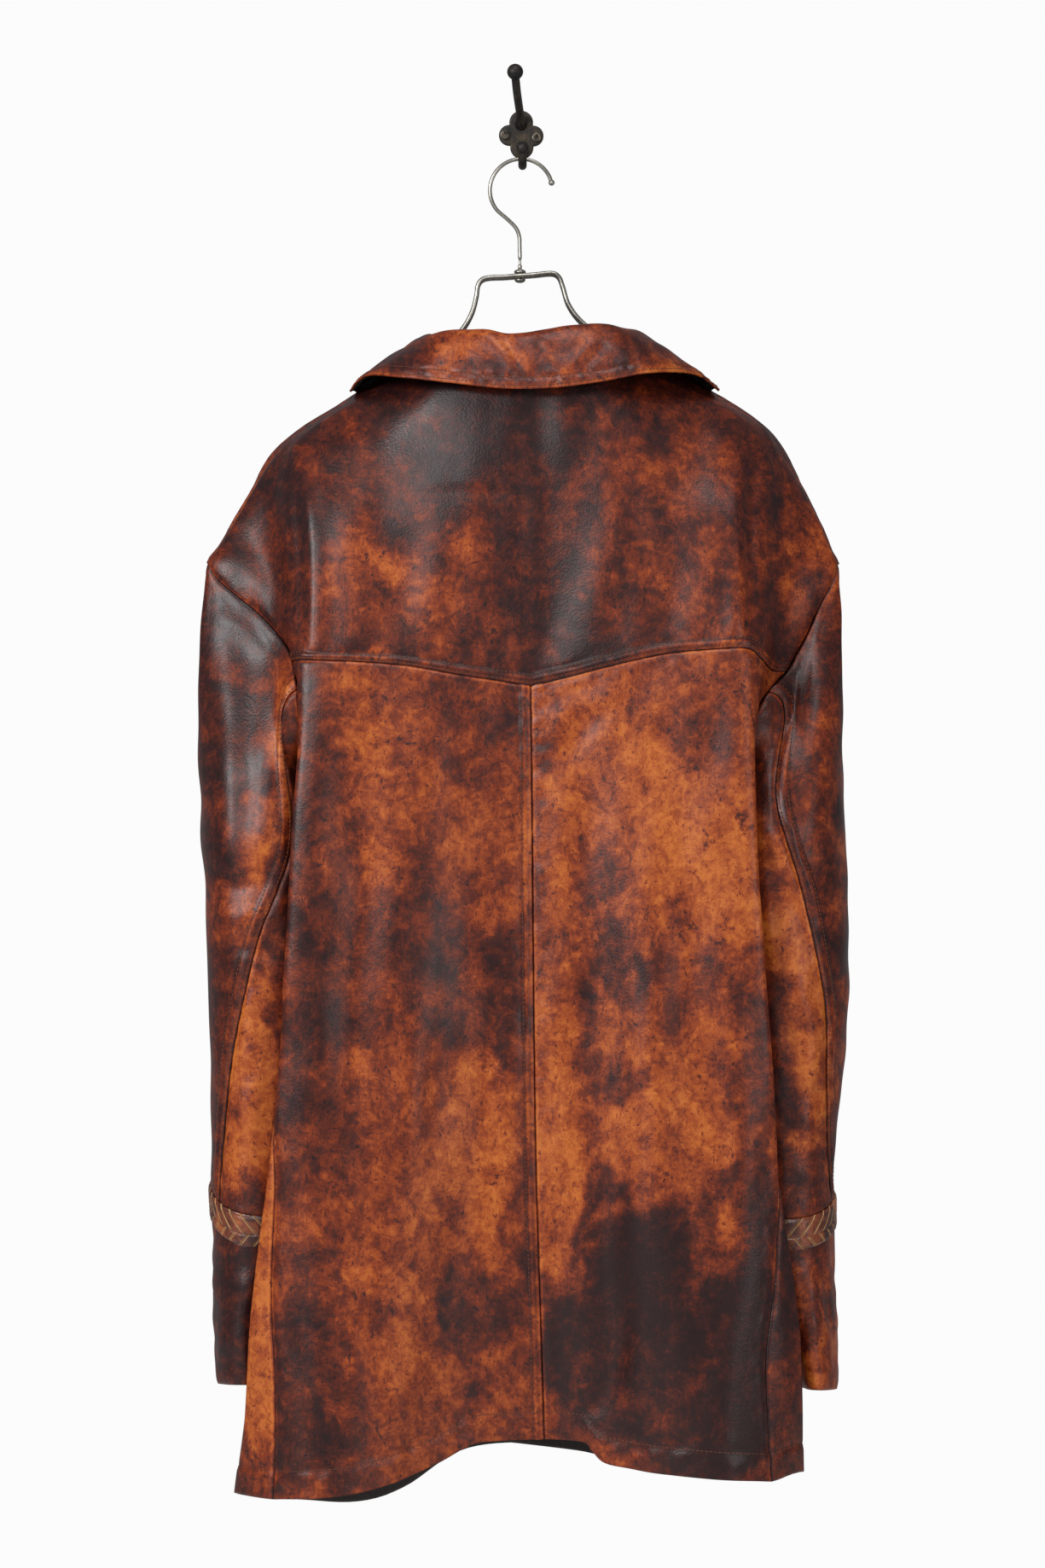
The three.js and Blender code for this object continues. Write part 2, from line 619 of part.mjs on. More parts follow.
for (const side of ["left", "right"]) {
  const s = shared[side];
  const half = ARM_STEPS / 2;
  const outerBack = [...s.arm.slice(YOKE_STEPS, half), ...s.side];
  const backNormals = [];
  const last = side === "left" ? 0 : PANEL_COLUMNS;
  for (let k = YOKE_STEPS; k <= half; k++) {
    backNormals.push([k - YOKE_STEPS, last, armNormals[side][k]]);
  }
  if (side === "left") {
    panel(
      "back_left",
      TAN,
      patch(seamLeft, s.hemBack, outerBack, centre),
      { trim: ["top", "first", "last"] },
      { normal: backNormals },
    );
  } else {
    panel(
      "back_right",
      TAN,
      patch(seamRight, [...s.hemBack].reverse(), centre, outerBack),
      { trim: ["top", "first", "last"] },
      { normal: backNormals },
    );
  }
  const armFront = [s.arm[0]];
  for (let k = ARM_STEPS - 1; k > half; k--) armFront.push(s.arm[k]);
  const outerFront = [...s.shoulder.slice(0, SHOULDER_ROWS), ...armFront, ...s.side];
  const edge = upright(s.neckFront[FRONT_COLUMNS][0], [252, 368, 524, 1012], [SHOULDER_ROWS, half, SIDE_ROWS]);
  const frontNormals = [];
  const outerColumn = side === "left" ? FRONT_COLUMNS : 0;
  for (let k = 0; k <= half; k++) {
    const from = k === 0 ? 0 : ARM_STEPS - k;
    frontNormals.push([SHOULDER_ROWS + k, outerColumn, armNormals[side][from]]);
  }
  const flipped = (list) => [...list].reverse();
  if (side === "left") {
    panel(
      "front_left",
      TAN,
      patch(flipped(s.neckFront), flipped(s.hemFront), edge, outerFront),
      { trim: ["top", "last"] },
      { normal: frontNormals },
    );
  } else {
    panel(
      "front_right",
      DARK,
      patch(s.neckFront, s.hemFront, outerFront, edge),
      { trim: ["top", "first"] },
      { normal: frontNormals, sink: ([p]) => OVERLAP * smooth(7.15, 7.65, p) },
    );
  }
}

// Both ends of the collar stop at the centre front.
const collarFront = (side) =>
  spaced([...SEAMS[side].neckFront.slice(0, -1), [7.95, 243]], FRONT_COLUMNS, SLEEVES[side].sign);
const neckSeam = [...collarFront("left").reverse(), ...neckBack.slice(1), ...collarFront("right").slice(1)];
const neckRun = neckSeam.map((p) => body(p).toArray());

// Collar: the fold line, the fall's free edge and the seam to the neck, from the left front
// round the back to the right front, [x, y, down].
const FOLD = [
  [-8, -9, 232], [-29, -9, 215], [-50, -10, 191], [-68, -16, 170], [-73, -43, 171], [-72, -63, 172],
  [-57, -84, 166], [-34, -95, 164.5], [-9, -99, 168], [16, -99, 165.5], [42, -96, 161.5], [66, -89, 161.5],
  [84, -68, 165.5], [84, -43, 166.5], [84, -15, 167], [57, -10, 189], [33, -9, 214], [8, -9, 232],
];
const FREE_EDGE = [
  [-48, -4.5, 282], [-82, -5, 260], [-110, -7, 232], [-127, -16, 212], [-131, -43, 211], [-119, -72, 199.5],
  [-92, -101, 201], [-50, -111, 206], [-12, -113, 210], [25, -113, 209.3], [62, -111, 204.5],
  [100, -103, 197.5], [134, -74, 198.5], [151, -43, 210.5], [147, -16, 210], [128, -7, 232], [88, -5, 260],
  [50, -4.5, 282],
];
const hung = ([x, y, down]) => deepened(vec([x, y, -down]));
function foldLegs(u) {
  const fold = hung(through(FOLD, u));
  const free = hung(through(FREE_EDGE, u));
  const foot = vec(through(neckRun, u));
  const run = hung(through(FOLD, Math.min(1, u + 0.01))).sub(hung(through(FOLD, Math.max(0, u - 0.01))));
  run.normalize();
  const inside = foot.clone().sub(fold).normalize();
  const outside = free.clone().sub(fold).normalize();
  const apart = outside.clone().sub(inside);
  apart.addScaledVector(run, -apart.dot(run)).normalize();
  return { fold, free, foot, inside, outside, apart };
}
const fallPoint = (u, w) => {
  const { fold, free, foot, inside, outside, apart } = foldLegs(u);
  const drop = Math.min(8, 0.45 * fold.distanceTo(foot));
  const knots = [
    fold.clone().addScaledVector(inside, drop).addScaledVector(apart, -3),
    fold.clone().addScaledVector(apart, -1.2),
    fold.clone().addScaledVector(outside, 3.5).addScaledVector(apart, 2.2),
    fold.clone().lerp(free, 0.5).addScaledVector(apart, 2.5),
    free,
  ];
  return vec(along(knots.map((p, i) => [[0, 0.16, 0.28, 0.62, 1][i], p.x, p.y, p.z]), w));
};
const surface = (f, columns, rows, from = 0, to = 1) => {
  const points = [];
  const normals = [];
  for (let j = 0; j <= rows; j++) {
    const pr = [];
    const nr = [];
    for (let i = 0; i <= columns; i++) {
      const u = i / columns;
      const w = from + ((to - from) * j) / rows;
      const across = f(Math.min(1, u + 0.004), w).sub(f(Math.max(0, u - 0.004), w));
      const fall = f(u, Math.min(1, w + 0.02)).sub(f(u, Math.max(0, w - 0.02)));
      pr.push(f(u, w));
      nr.push(fall.cross(across).normalize());
    }
    points.push(pr);
    normals.push(nr);
  }
  return [points, normals];
};

const standPoint = (u, w) => {
  const { foot, inside, apart } = foldLegs(u);
  foot.addScaledVector(inside, -1.2).addScaledVector(apart, -1.2);
  return foot.lerp(fallPoint(u, 0), w);
};
const fall = surface(fallPoint, COLLAR_COLUMNS, 7);
const stand = surface(standPoint, COLLAR_COLUMNS, 2);
// Both walls turn the same way where the stand meets the fall.
stand[1][2] = stand[1][2].map((normal, i) => normal.clone().add(fall[1][0][i]).normalize());
fall[1][0] = stand[1][2];
add("collar_fall", wall(...fall, { trim: ["top"] }), DARK);
add("collar_stand", wall(...stand, { trim: ["top", "bottom"] }), DARK);

// Plain buttons down the hidden closure.
[300, 440, 580, 720].forEach((down, i) => {
  const at = body([-8, down]);
  const button = new THREE.CylinderGeometry(9, 9, 3, 20);
  button.translate(at.x, at.y + SEAT + 1.5, at.z);
  add("button_" + (i + 1), button, IRON);
});

// A round bar along a line of points.
function bar(points, radius, options = {}) {
  const { closed = false, steps = 60, sides = 10, profile = null } = options;
  const curve = new THREE.CatmullRomCurve3(points.map(vec), closed, "centripetal");
  const frames = curve.computeFrenetFrames(steps, closed);
  const flat = [];
  const faces = [];
  const count = closed ? steps : steps + 1;
  for (let i = 0; i < count; i++) {
    const p = curve.getPointAt(i / steps);
    const r = profile ? profile(i / steps) : radius;
    for (let k = 0; k < sides; k++) {
      const a = (2 * Math.PI * k) / sides;
      const q = p
        .clone()
        .addScaledVector(frames.normals[i], Math.cos(a) * r)
        .addScaledVector(frames.binormals[i], Math.sin(a) * r);
      flat.push(q.x, q.y, q.z);
    }
  }
  const at = (i, k) => (closed ? i % count : i) * sides + (k % sides);
  for (let i = 0; i < steps; i++) {
    for (let k = 0; k < sides; k++) {
      faces.push(at(i, k), at(i, k + 1), at(i + 1, k + 1), at(i, k), at(i + 1, k + 1), at(i + 1, k));
    }
  }
  if (!closed) {
    for (let k = 1; k < sides - 1; k++) {
      faces.push(at(0, 0), at(0, k + 1), at(0, k), at(steps, 0), at(steps, k), at(steps, k + 1));
    }
  }
  const geometry = new THREE.BufferGeometry();
  geometry.setAttribute("position", new THREE.Float32BufferAttribute(flat, 3));
  geometry.setIndex(faces);
  return geometry;
}

// Hanger: one rod bent into two like outlines, joined at both ends.
const HANGER = [
  [-175.9, -245.9, 8], [-134.6, -216.8, 8], [-92.5, -190.1, 8], [-62.5, -172.6, 8], [-46, -156.2, 7.5], [-38.5, -143, 7],
  [-35, -130, 6], [-33.5, -121, 5.6], [-29, -116.6, 5.5], [-12, -115.2, 5.5], [10, -113.6, 5.5],
  [25, -112.6, 5.5], [29.6, -115.6, 5.6], [32.5, -123, 6], [37, -137, 7], [47, -150.4, 8],
  [67, -165, 8], [102.7, -184.4, 8], [155.1, -218.3, 8], [181.8, -237.4, 8],
];
const loop = [
  ...HANGER.map(([x, z, h]) => [x, HANGER_DEPTH + h, z]),
  [187.4, HANGER_DEPTH, -240.9],
  ...[...HANGER].reverse().map(([x, z, h]) => [x, HANGER_DEPTH - h, z]),
  [-180.6, HANGER_DEPTH, -249.3],
];
add("hanger_frame", bar(loop, ROD, { closed: true, steps: 84, sides: 7 }), STEEL);

const FERRULE = [
  [0, -119.5], [2.4, -119.5], [4.2, -118], [4.2, -116.6], [3.4, -116.2], [3.4, -112.4], [4.6, -112],
  [4.6, -110.2], [3.6, -109.4], [1.9, -108.8], [0, -108.8],
];
function lathed(radii, x, y) {
  const sides = 16;
  const flat = [];
  const faces = [];
  const rings = radii.slice(1, -1);
  flat.push(x, y, radii[0][1]);
  rings.forEach(([r, z]) => {
    for (let k = 0; k < sides; k++) {
      const a = (2 * Math.PI * k) / sides;
      flat.push(x + r * Math.cos(a), y + r * Math.sin(a), z);
    }
  });
  flat.push(x, y, radii[radii.length - 1][1]);
  const end = 1 + rings.length * sides;
  const at = (i, k) => 1 + i * sides + (k % sides);
  for (let k = 0; k < sides; k++) {
    faces.push(0, at(0, k + 1), at(0, k));
    faces.push(end, at(rings.length - 1, k), at(rings.length - 1, k + 1));
    for (let i = 0; i < rings.length - 1; i++) {
      faces.push(at(i, k), at(i, k + 1), at(i + 1, k + 1), at(i, k), at(i + 1, k + 1), at(i + 1, k));
    }
  }
  const geometry = new THREE.BufferGeometry();
  geometry.setAttribute("position", new THREE.Float32BufferAttribute(flat, 3));
  geometry.setIndex(faces);
  return geometry;
}
add("hanger_ferrule", lathed(FERRULE, -1, HANGER_DEPTH), STEEL);

const LOOP_R = 24.5;
const loopZ = -47;
const hookPath = [];
for (let i = 0; i <= 16; i++) {
  const a = ((14 + (206 * i) / 16) * Math.PI) / 180;
  hookPath.push([LOOP_R * Math.cos(a), HANGER_DEPTH, loopZ + LOOP_R * Math.sin(a)]);
}
hookPath.push([-10.5, HANGER_DEPTH, -70], [-4.2, HANGER_DEPTH, -76.5], [-1.6, HANGER_DEPTH, -83]);
hookPath.push([-1.2, HANGER_DEPTH, -92], [-1, HANGER_DEPTH, -101], [-1, HANGER_DEPTH, -108.4]);
const neck = (t) => HOOK_WIRE - 0.6 * smooth(0.955, 0.965, t) * (1 - smooth(0.975, 0.99, t));
const ball = (radius, at) => Manifold.sphere(radius, 16).translate(at);
add(
  "hanger_hook",
  geometryOf(solid(bar(hookPath, HOOK_WIRE, { steps: 48, sides: 8, profile: neck })).add(ball(2.4, hookPath[0]))),
  STEEL,
);

// Wall hook: a four-lobed cast plate, a tall upper prong and a short lower one.
const PLATE = 3.2;
const disc = (radius, x, z) =>
  Manifold.cylinder(PLATE, radius, radius, 20).rotate([90, 0, 0]).translate([x, 0, z]);
const plate = disc(9.4, 0, 10)
  .add(disc(9.2, 0.5, -9.4))
  .add(disc(8.2, -9.4, 0))
  .add(disc(8.2, 9.4, -0.5));
const prong = (points, radius, profile) => solid(bar(points, radius, { steps: 16, sides: 10, profile }));
const lower = prong(
  [[0.8, -1.5, -8], [1, -10, -19], [1, -20, -25.4], [1, -30, -27.6], [1, -38.5, -24.6], [1, -43, -17.5]],
  3.35,
  (t) => 3.35 + 1.4 * (1 - smooth(0, 0.25, t)),
);
const upper = prong(
  [[0, -1.5, 8], [-0.6, -12, 13], [-1.8, -28, 19], [-3.4, -46, 28], [-4.6, -56, 38.5]],
  3.3,
  (t) => 3.2 + 1.8 * (1 - smooth(0, 0.3, t)),
);
add(
  "wall_hook",
  geometryOf(
    plate
      .add(lower)
      .add(upper)
      .add(ball(5, [1, -43.4, -15.6]))
      .add(ball(6.3, [-4.7, -57, 41.5]))
      .trimByPlane([0, -1, 0], 0),
  ),
  IRON,
);
for (const [name, x, z] of [["screw_left", -12.8, 0], ["screw_right", 12.1, -2]]) {
  const head = Manifold.sphere(5.2, 28)
    .scale([1, 0.5, 1])
    .intersect(Manifold.cube([12, 2.2, 12], true).translate([0, -1.1, 0]))
    .intersect(Manifold.cylinder(8, 3.4, 3.4, 24, true).rotate([90, 0, 0]));
  const slots = Manifold.cube([4.4, 2, 0.8], true)
    .add(Manifold.cube([0.8, 2, 4.4], true))
    .translate([0, -2.4, 0]);
  add(name, geometryOf(head.subtract(slots).translate([x, -PLATE - SEAT, z])), IRON);
}

export default root;
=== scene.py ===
import bmesh
import bpy
import numpy as np
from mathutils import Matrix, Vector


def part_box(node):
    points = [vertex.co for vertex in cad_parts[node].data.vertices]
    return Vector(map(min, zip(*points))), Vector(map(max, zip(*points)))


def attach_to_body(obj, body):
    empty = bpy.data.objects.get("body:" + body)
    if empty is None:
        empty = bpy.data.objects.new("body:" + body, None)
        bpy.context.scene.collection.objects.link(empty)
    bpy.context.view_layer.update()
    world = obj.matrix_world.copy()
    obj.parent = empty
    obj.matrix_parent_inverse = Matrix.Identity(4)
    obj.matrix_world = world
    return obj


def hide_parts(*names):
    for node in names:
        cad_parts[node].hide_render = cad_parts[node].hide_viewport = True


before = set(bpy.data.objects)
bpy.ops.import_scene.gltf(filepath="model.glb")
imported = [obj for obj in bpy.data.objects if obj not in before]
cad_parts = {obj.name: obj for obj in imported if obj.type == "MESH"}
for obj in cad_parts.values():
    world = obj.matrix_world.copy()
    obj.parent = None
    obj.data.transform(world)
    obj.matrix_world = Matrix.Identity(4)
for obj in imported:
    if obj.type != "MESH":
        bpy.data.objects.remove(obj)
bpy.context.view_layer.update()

# The room: the camera stands level with the middle of the coat, 3.6 m from the wall.
# A broad soft light comes from the left and the front, a weaker one from the right.
EYE = np.array([1, -3600, -511.8])  # the camera's place, in millimetres
camera_data = bpy.data.cameras.new("camera")
camera_data.sensor_width = 36
camera_data.lens = 104.7
camera = bpy.data.objects.new("camera", camera_data)
camera.location = EYE / 1000
camera.rotation_euler = (np.pi / 2, 0, 0)
bpy.context.collection.objects.link(camera)
bpy.context.scene.camera = camera
bpy.context.scene.view_settings.view_transform = "Standard"


MIDDLE = np.array([0, -0.1, -0.5])


def soft_light(name, place, size, power):
    """A square area light at place that looks at the middle of the coat."""
    data = bpy.data.lights.new(name, "AREA")
    data.size = size
    data.energy = power
    light = bpy.data.objects.new(name, data)
    light.location = place
    way = MIDDLE - np.array(place)
    flat = np.hypot(way[0], way[1])
    light.rotation_euler = (np.arctan2(flat, -way[2]), 0, np.arctan2(-way[0], way[1]))
    bpy.context.collection.objects.link(light)
    return light


soft_light("key", (-2.2, -2.4, 0.6), 1.0, 56)
soft_light("window", (-1.0, -3.2, 0.7), 0.5, 17)
soft_light("fill", (2.0, -2.9, -0.2), 1.2, 16)
soft_light("sky", (0.2, -1.6, 1.8), 1.0, 20)
back_light = soft_light("back", (0.6, 2.6, 0.4), 1.6, 55)
back_light.visible_glossy = False  # it lights the hidden side, and would edge the shoulders in white

# The wall is nearly white to the camera, and throws a dimmer grey light on the coat.
world = bpy.data.worlds.new("room")
bpy.context.scene.world = world
world.use_nodes = True
sky = world.node_tree
sky.nodes.clear()
seen = sky.nodes.new("ShaderNodeLightPath")
shown = sky.nodes.new("ShaderNodeBackground")
shown.inputs["Color"].default_value = (0.97, 0.97, 0.97, 1)
cast = sky.nodes.new("ShaderNodeBackground")
cast.inputs["Color"].default_value = (0.22, 0.221, 0.228, 1)
pick = sky.nodes.new("ShaderNodeMixShader")
sky_out = sky.nodes.new("ShaderNodeOutputWorld")
sky.links.new(seen.outputs["Is Camera Ray"], pick.inputs[0])
sky.links.new(cast.outputs[0], pick.inputs[1])
sky.links.new(shown.outputs[0], pick.inputs[2])
sky.links.new(pick.outputs[0], sky_out.inputs[0])

FLOOR_LEVEL = -1.3
FLOOR_CORNERS = [(-1.8, -2.2), (1.8, -2.2), (1.8, 0.45), (-1.8, 0.45)]
floor_mesh = bpy.data.meshes.new("floor")
floor_mesh.from_pydata([(x, y, FLOOR_LEVEL) for x, y in FLOOR_CORNERS], [], [(0, 1, 2, 3)])
floor = bpy.data.objects.new("floor", floor_mesh)
bpy.context.collection.objects.link(floor)
floor_paint = bpy.data.materials.new("pale_floor")
floor_paint.use_nodes = True
floor_sockets = floor_paint.node_tree.nodes["Principled BSDF"].inputs
floor_sockets["Base Color"].default_value = (0.8, 0.79, 0.77, 1)
floor_sockets["Roughness"].default_value = 0.8
floor_mesh.materials.append(floor_paint)


# The leather: aniline dyed hide, marbled from orange tan to a nearly black red brown, with a
# waxed gloss, fine grain and small dark specks. "tone" on the mesh says how light each place is:
# the dye's stains, plus painted shade in seam grooves, fold troughs and under the collar, and a
# painted highlight on seam lips.
class Value:
    """A socket that takes part in sums: each operator adds a Math node."""

    def __init__(self, paint, socket):
        self.paint = paint
        self.socket = socket

    def _math(self, how, a, b):
        return self.paint.node("ShaderNodeMath", {"operation": how}, {0: a, 1: b})

    def __add__(self, other):
        return self._math("ADD", self, other)

    __radd__ = __add__

    def __sub__(self, other):
        return self._math("SUBTRACT", self, other)

    def __rsub__(self, other):
        return self._math("SUBTRACT", other, self)

    def __mul__(self, other):
        return self._math("MULTIPLY", self, other)

    def __abs__(self):
        return self._math("ABSOLUTE", self, 0.0)

    def clear(self, low, high):
        """0 below low, 1 above high, and a soft step between."""
        reach = {"Value": self, "From Min": low, "From Max": high}
        return self.paint.node("ShaderNodeMapRange", {"interpolation_type": "SMOOTHSTEP"}, reach)


class Paint:
    """A material with one Principled shader, built node by node."""

    def __init__(self, name):
        self.material = bpy.data.materials.new(name)
        self.material.use_nodes = True
        self.tree = self.material.node_tree
        self.shader = self.tree.nodes["Principled BSDF"]

    def put(self, socket, value):
        if isinstance(value, Value):
            self.tree.links.new(value.socket, socket)
        else:
            socket.default_value = value

    def node(self, kind, settings=None, inputs=None, out=0):
        made = self.tree.nodes.new(kind)
        for key, value in (settings or {}).items():
            setattr(made, key, value)
        for key, value in (inputs or {}).items():
            self.put(made.inputs[key], value)
        return Value(self, made.outputs[out])

    def ramp(self, by, stops):
        """A colour ramp read at by; each stop is (place, colour)."""
        read = self.node("ShaderNodeValToRGB", {}, {0: by})
        elements = read.socket.node.color_ramp.elements
        while len(elements) < len(stops):
            elements.new(0.5)
        for element, (place, colour) in zip(elements, stops):
            element.position = place
            element.color = (*colour, 1)
        return read

    def bump(self, height, strength, distance):
        return self.node("ShaderNodeBump", {}, {"Strength": strength, "Distance": distance, "Height": height})

    def where(self, scale=(1, 1, 1), turn=(0, 0, 0)):
        """Object coordinates, turned and stretched by a Mapping node."""
        here = self.node("ShaderNodeTexCoord", out="Object")
        return self.node("ShaderNodeMapping", {}, {"Vector": here, "Rotation": turn, "Scale": scale})

    def noise(self, scale, detail=4.0, rough=0.55, bend=0.0, place=None):
        form = {"Scale": scale, "Detail": detail, "Roughness": rough, "Distortion": bend}
        return self.node("ShaderNodeTexNoise", {}, {"Vector": place or self.where(), **form})

    def attribute(self, name):
        return self.node("ShaderNodeAttribute", {"attribute_name": name}, out="Fac")

    def finish(self, **sockets):
        for name, value in sockets.items():
            self.put(self.shader.inputs[name.replace("_", " ")], value)
        return self.material


HIDE_COLOURS = [
    (0.00, (0.019, 0.0050, 0.0050)),
    (0.18, (0.040, 0.0075, 0.0055)),
    (0.36, (0.092, 0.0135, 0.0052)),
    (0.54, (0.188, 0.0260, 0.0056)),
    (0.75, (0.355, 0.0660, 0.0100)),
    (1.00, (0.540, 0.1420, 0.0230)),
]


def hide(name):
    """tone + cloudy, smudged and mottled noise + slanting fibres - flecks and blots, read through
    the dye's colour ramp."""
    p = Paint(name)
    tone = p.attribute("tone")
    cloud = p.noise(13, 8, 0.66, 0.8)
    smudge = p.noise(46, 10, 0.72, 1.4).clear(0.36, 0.64)
    mottle = p.noise(150, 10, 0.76, 0.9).clear(0.38, 0.62)
    slant = p.noise(1, 9, 0.70, 0.8, p.where((170, 150, 60), (0, 0.55, 0)))
    across = p.noise(1, 8, 0.68, 0.8, p.where((50, 90, 190), (0, -0.6, 0)))
    flecks = p.noise(1, 4, 0.62, 0.5, p.where((420, 300, 230), (0, 0.6, 0))).clear(0.60, 0.66)
    blots = p.noise(85, 8, 0.76, 1.0).clear(0.585, 0.65)
    wisps = (1 - abs(across - 0.5) * 2).clear(0.93, 0.99)
    light = tone.clear(0.25, 0.6)
    shade = (
        tone - 0.02
        + (cloud - 0.5) * 0.36
        + (smudge - 0.5) * 0.24
        + (mottle - 0.5) * 0.20
        + (slant - 0.5) * 0.55
        - flecks * 0.32
        - blots * light * 0.40
        - wisps * 0.05
    )
    colour = p.ramp(shade, HIDE_COLOURS)
    pores = p.node("ShaderNodeTexVoronoi", {}, {"Vector": p.where(), "Scale": 620.0})
    grain = p.noise(420, 3, 0.6)
    crackle = p.noise(90, 5, 0.65, 0.5)
    height = pores * 0.35 + grain * 0.6 + crackle * 0.4
    return p.finish(
        Base_Color=colour,
        Roughness=0.36 + (crackle - 0.5) * 0.16 + light * 0.06,
        Normal=p.bump(height, 0.30, 0.0009),
        Coat_Weight=0.08,
        Coat_Roughness=0.26,
        Specular_IOR_Level=0.34,
    )


leather = hide("marbled_hide")

lining_paint = Paint("dark_lining")
weave = lining_paint.noise(1, 2, 0.5, 0.0, lining_paint.where((900, 900, 160)))
lining = lining_paint.finish(
    Base_Color=lining_paint.ramp(weave, [(0.3, (0.012, 0.008, 0.008)), (0.7, (0.03, 0.02, 0.018))]),
    Roughness=0.72,
)

thread_paint = Paint("waxed_thread")
twist = thread_paint.noise(900, 2, 0.5)
thread = thread_paint.finish(
    Base_Color=thread_paint.ramp(twist, [(0.3, (0.07, 0.018, 0.010)), (0.7, (0.20, 0.055, 0.02))]),
    Roughness=0.55,
)


# The form of the body. It is drawn on rings: column 0 is the centre back, 3 the crest that falls
# from the hanger's end, 5 the shoulder line and the side, 8 the centre front. Millimetres.
CENTRE_BACK = [
    (165, 3, -88), (200, 4, -93), (252, 4, -97), (343, 5, -99), (436, 7, -104), (508, 8, -106),
    (630, 9, -108), (792, 11, -108), (930, 15, -104), (1060, 19, -98),
]
CENTRE_FRONT = [(165, 1, -14), (300, 1, -13), (420, 2, -8), (1080, 3, -8)]
LEFT = [
    [
        (165, -16, -84), (200, -30, -92), (252, -42, -98), (343, -48, -103), (432, -48, -109),
        (630, -50, -117), (792, -50, -119), (930, -48, -116), (1060, -44, -111),
    ],
    [
        (165, -30, -72), (200, -58, -86), (252, -98, -88), (303, -104, -98), (343, -105, -103),
        (432, -106, -112), (630, -112, -125), (792, -124, -134), (930, -138, -142), (1060, -150, -149),
    ],
    [
        (165, -42, -58), (200, -86, -64), (218, -116, -60), (240, -150, -58), (252, -162, -64),
        (278, -167, -76), (303, -167, -88), (343, -166, -98), (383, -165, -106), (432, -166, -113),
        (486, -168, -119), (551, -172, -124), (629, -176, -127), (727, -182, -128), (792, -188, -127),
        (850, -195.5, -124), (893, -200, -121), (930, -203.5, -119), (966, -206, -118), (1016, -210, -114),
        (1052, -214, -110),
    ],
    [
        (165, -48, -46), (200, -97, -47), (218, -126, -45), (252, -176, -46), (278, -187, -52),
        (303, -190, -58), (343, -191, -66), (383, -188, -74), (420, -178, -80), (450, -167, -86),
        (486, -158, -94), (551, -160, -102), (630, -163, -104), (792, -178, -104), (893, -189, -101),
        (966, -194, -97), (1010, -202, -90), (1056, -210, -82),
    ],
    [
        (165, -50, -30), (172, -60, -30), (191, -90, -30), (218.5, -131, -30), (246, -172.5, -30),
        (253.5, -181.5, -30.3), (261, -188, -31.5), (278.5, -199.5, -34), (303, -214, -38),
        (331, -231, -44), (343, -239.5, -47), (430, -196, -52), (508, -140, -54), (560, -134, -54),
        (630, -134, -54), (792, -142, -54), (893, -152, -54), (966, -160, -54), (1010, -180, -50),
        (1060, -198, -46),
    ],
    [
        (165, -48, -16), (200, -97, -15.5), (252, -174, -15), (303, -196, -14), (343, -206, -15),
        (383, -190, -15), (430, -160, -15), (508, -126, -15), (630, -118, -14), (792, -124, -14),
        (966, -142, -14), (1010, -158, -14), (1078, -172, -14),
    ],
    [
        (165, -30, -15), (200, -52, -15), (290, -90, -13.5), (400, -90, -9), (508, -72, -9),
        (630, -66, -9), (966, -80, -9), (1078, -92, -10),
    ],
]
RIGHT = [
    [
        (165, 20, -84), (200, 34, -92), (252, 50, -98), (343, 56, -103), (432, 56, -109), (630, 58, -117),
        (792, 60, -119), (930, 58, -116), (1060, 56, -111),
    ],
    [
        (165, 36, -72), (200, 64, -86), (252, 104, -88), (303, 110, -98), (343, 111, -103),
        (432, 112, -112), (630, 116, -125), (792, 126, -134), (930, 140, -142), (1060, 150, -148),
    ],
    [
        (165, 52, -58), (190, 84, -62), (218, 132, -58), (234, 158, -58), (247, 168, -64), (278, 172, -76),
        (303, 172, -88), (343, 170, -98), (383, 171, -106), (432, 174, -113), (487, 175, -119),
        (538, 177, -124), (584, 179, -127), (643, 183, -128), (713, 188, -128), (758, 190.5, -127),
        (827, 195, -125), (882, 204, -121), (930, 210, -119), (966, 211, -118), (1016, 212, -114),
        (1052, 213, -110),
    ],
    [
        (165, 60, -46), (190, 95, -46), (218, 146, -45), (241, 183, -45), (262, 192, -50), (278, 197, -54),
        (303, 200, -60), (343, 202, -68), (383, 200, -75), (420, 192, -80), (450, 182, -86),
        (486, 169, -94), (551, 165, -102), (630, 168, -104), (792, 181, -104), (893, 193, -101),
        (966, 197, -97), (1010, 202, -90), (1056, 206, -82),
    ],
    [
        (160, 62, -30), (165, 71, -30), (183.5, 100, -30), (217, 151, -30), (235, 178, -30),
        (242.5, 187, -30.3), (250, 193, -31.5), (265.5, 202, -34), (299, 221.5, -38), (337.6, 239, -45),
        (344, 242, -47), (430, 204, -52), (512, 146, -54), (560, 140, -54), (630, 140, -54),
        (792, 148, -54), (893, 156, -54), (966, 164, -54), (1010, 180, -50), (1060, 192, -46),
    ],
    [
        (160, 58, -16), (190, 101, -15.5), (241, 179, -15), (303, 204, -14), (343, 212, -15),
        (383, 196, -15), (430, 166, -15), (512, 132, -15), (630, 124, -14), (792, 130, -14),
        (966, 144, -14), (1010, 156, -14), (1060, 168, -14),
    ],
    [
        (160, 34, -15), (200, 60, -15), (290, 96, -13.5), (400, 94, -9), (508, 78, -9), (630, 72, -9),
        (966, 84, -9), (1060, 92, -10),
    ],
]
RING = [CENTRE_FRONT, *LEFT[::-1], CENTRE_BACK, *RIGHT]  # places -8 to 7


def hermite(a, b, m0, m1, t, h=1.0):
    """The cubic from a to b with tangents m0 and m1, at t of a step h."""
    return (
        (2 * t**3 - 3 * t**2 + 1) * a
        + (t**3 - 2 * t**2 + t) * h * m0
        + (3 * t**2 - 2 * t**3) * b
        + (t**3 - t**2) * h * m1
    )


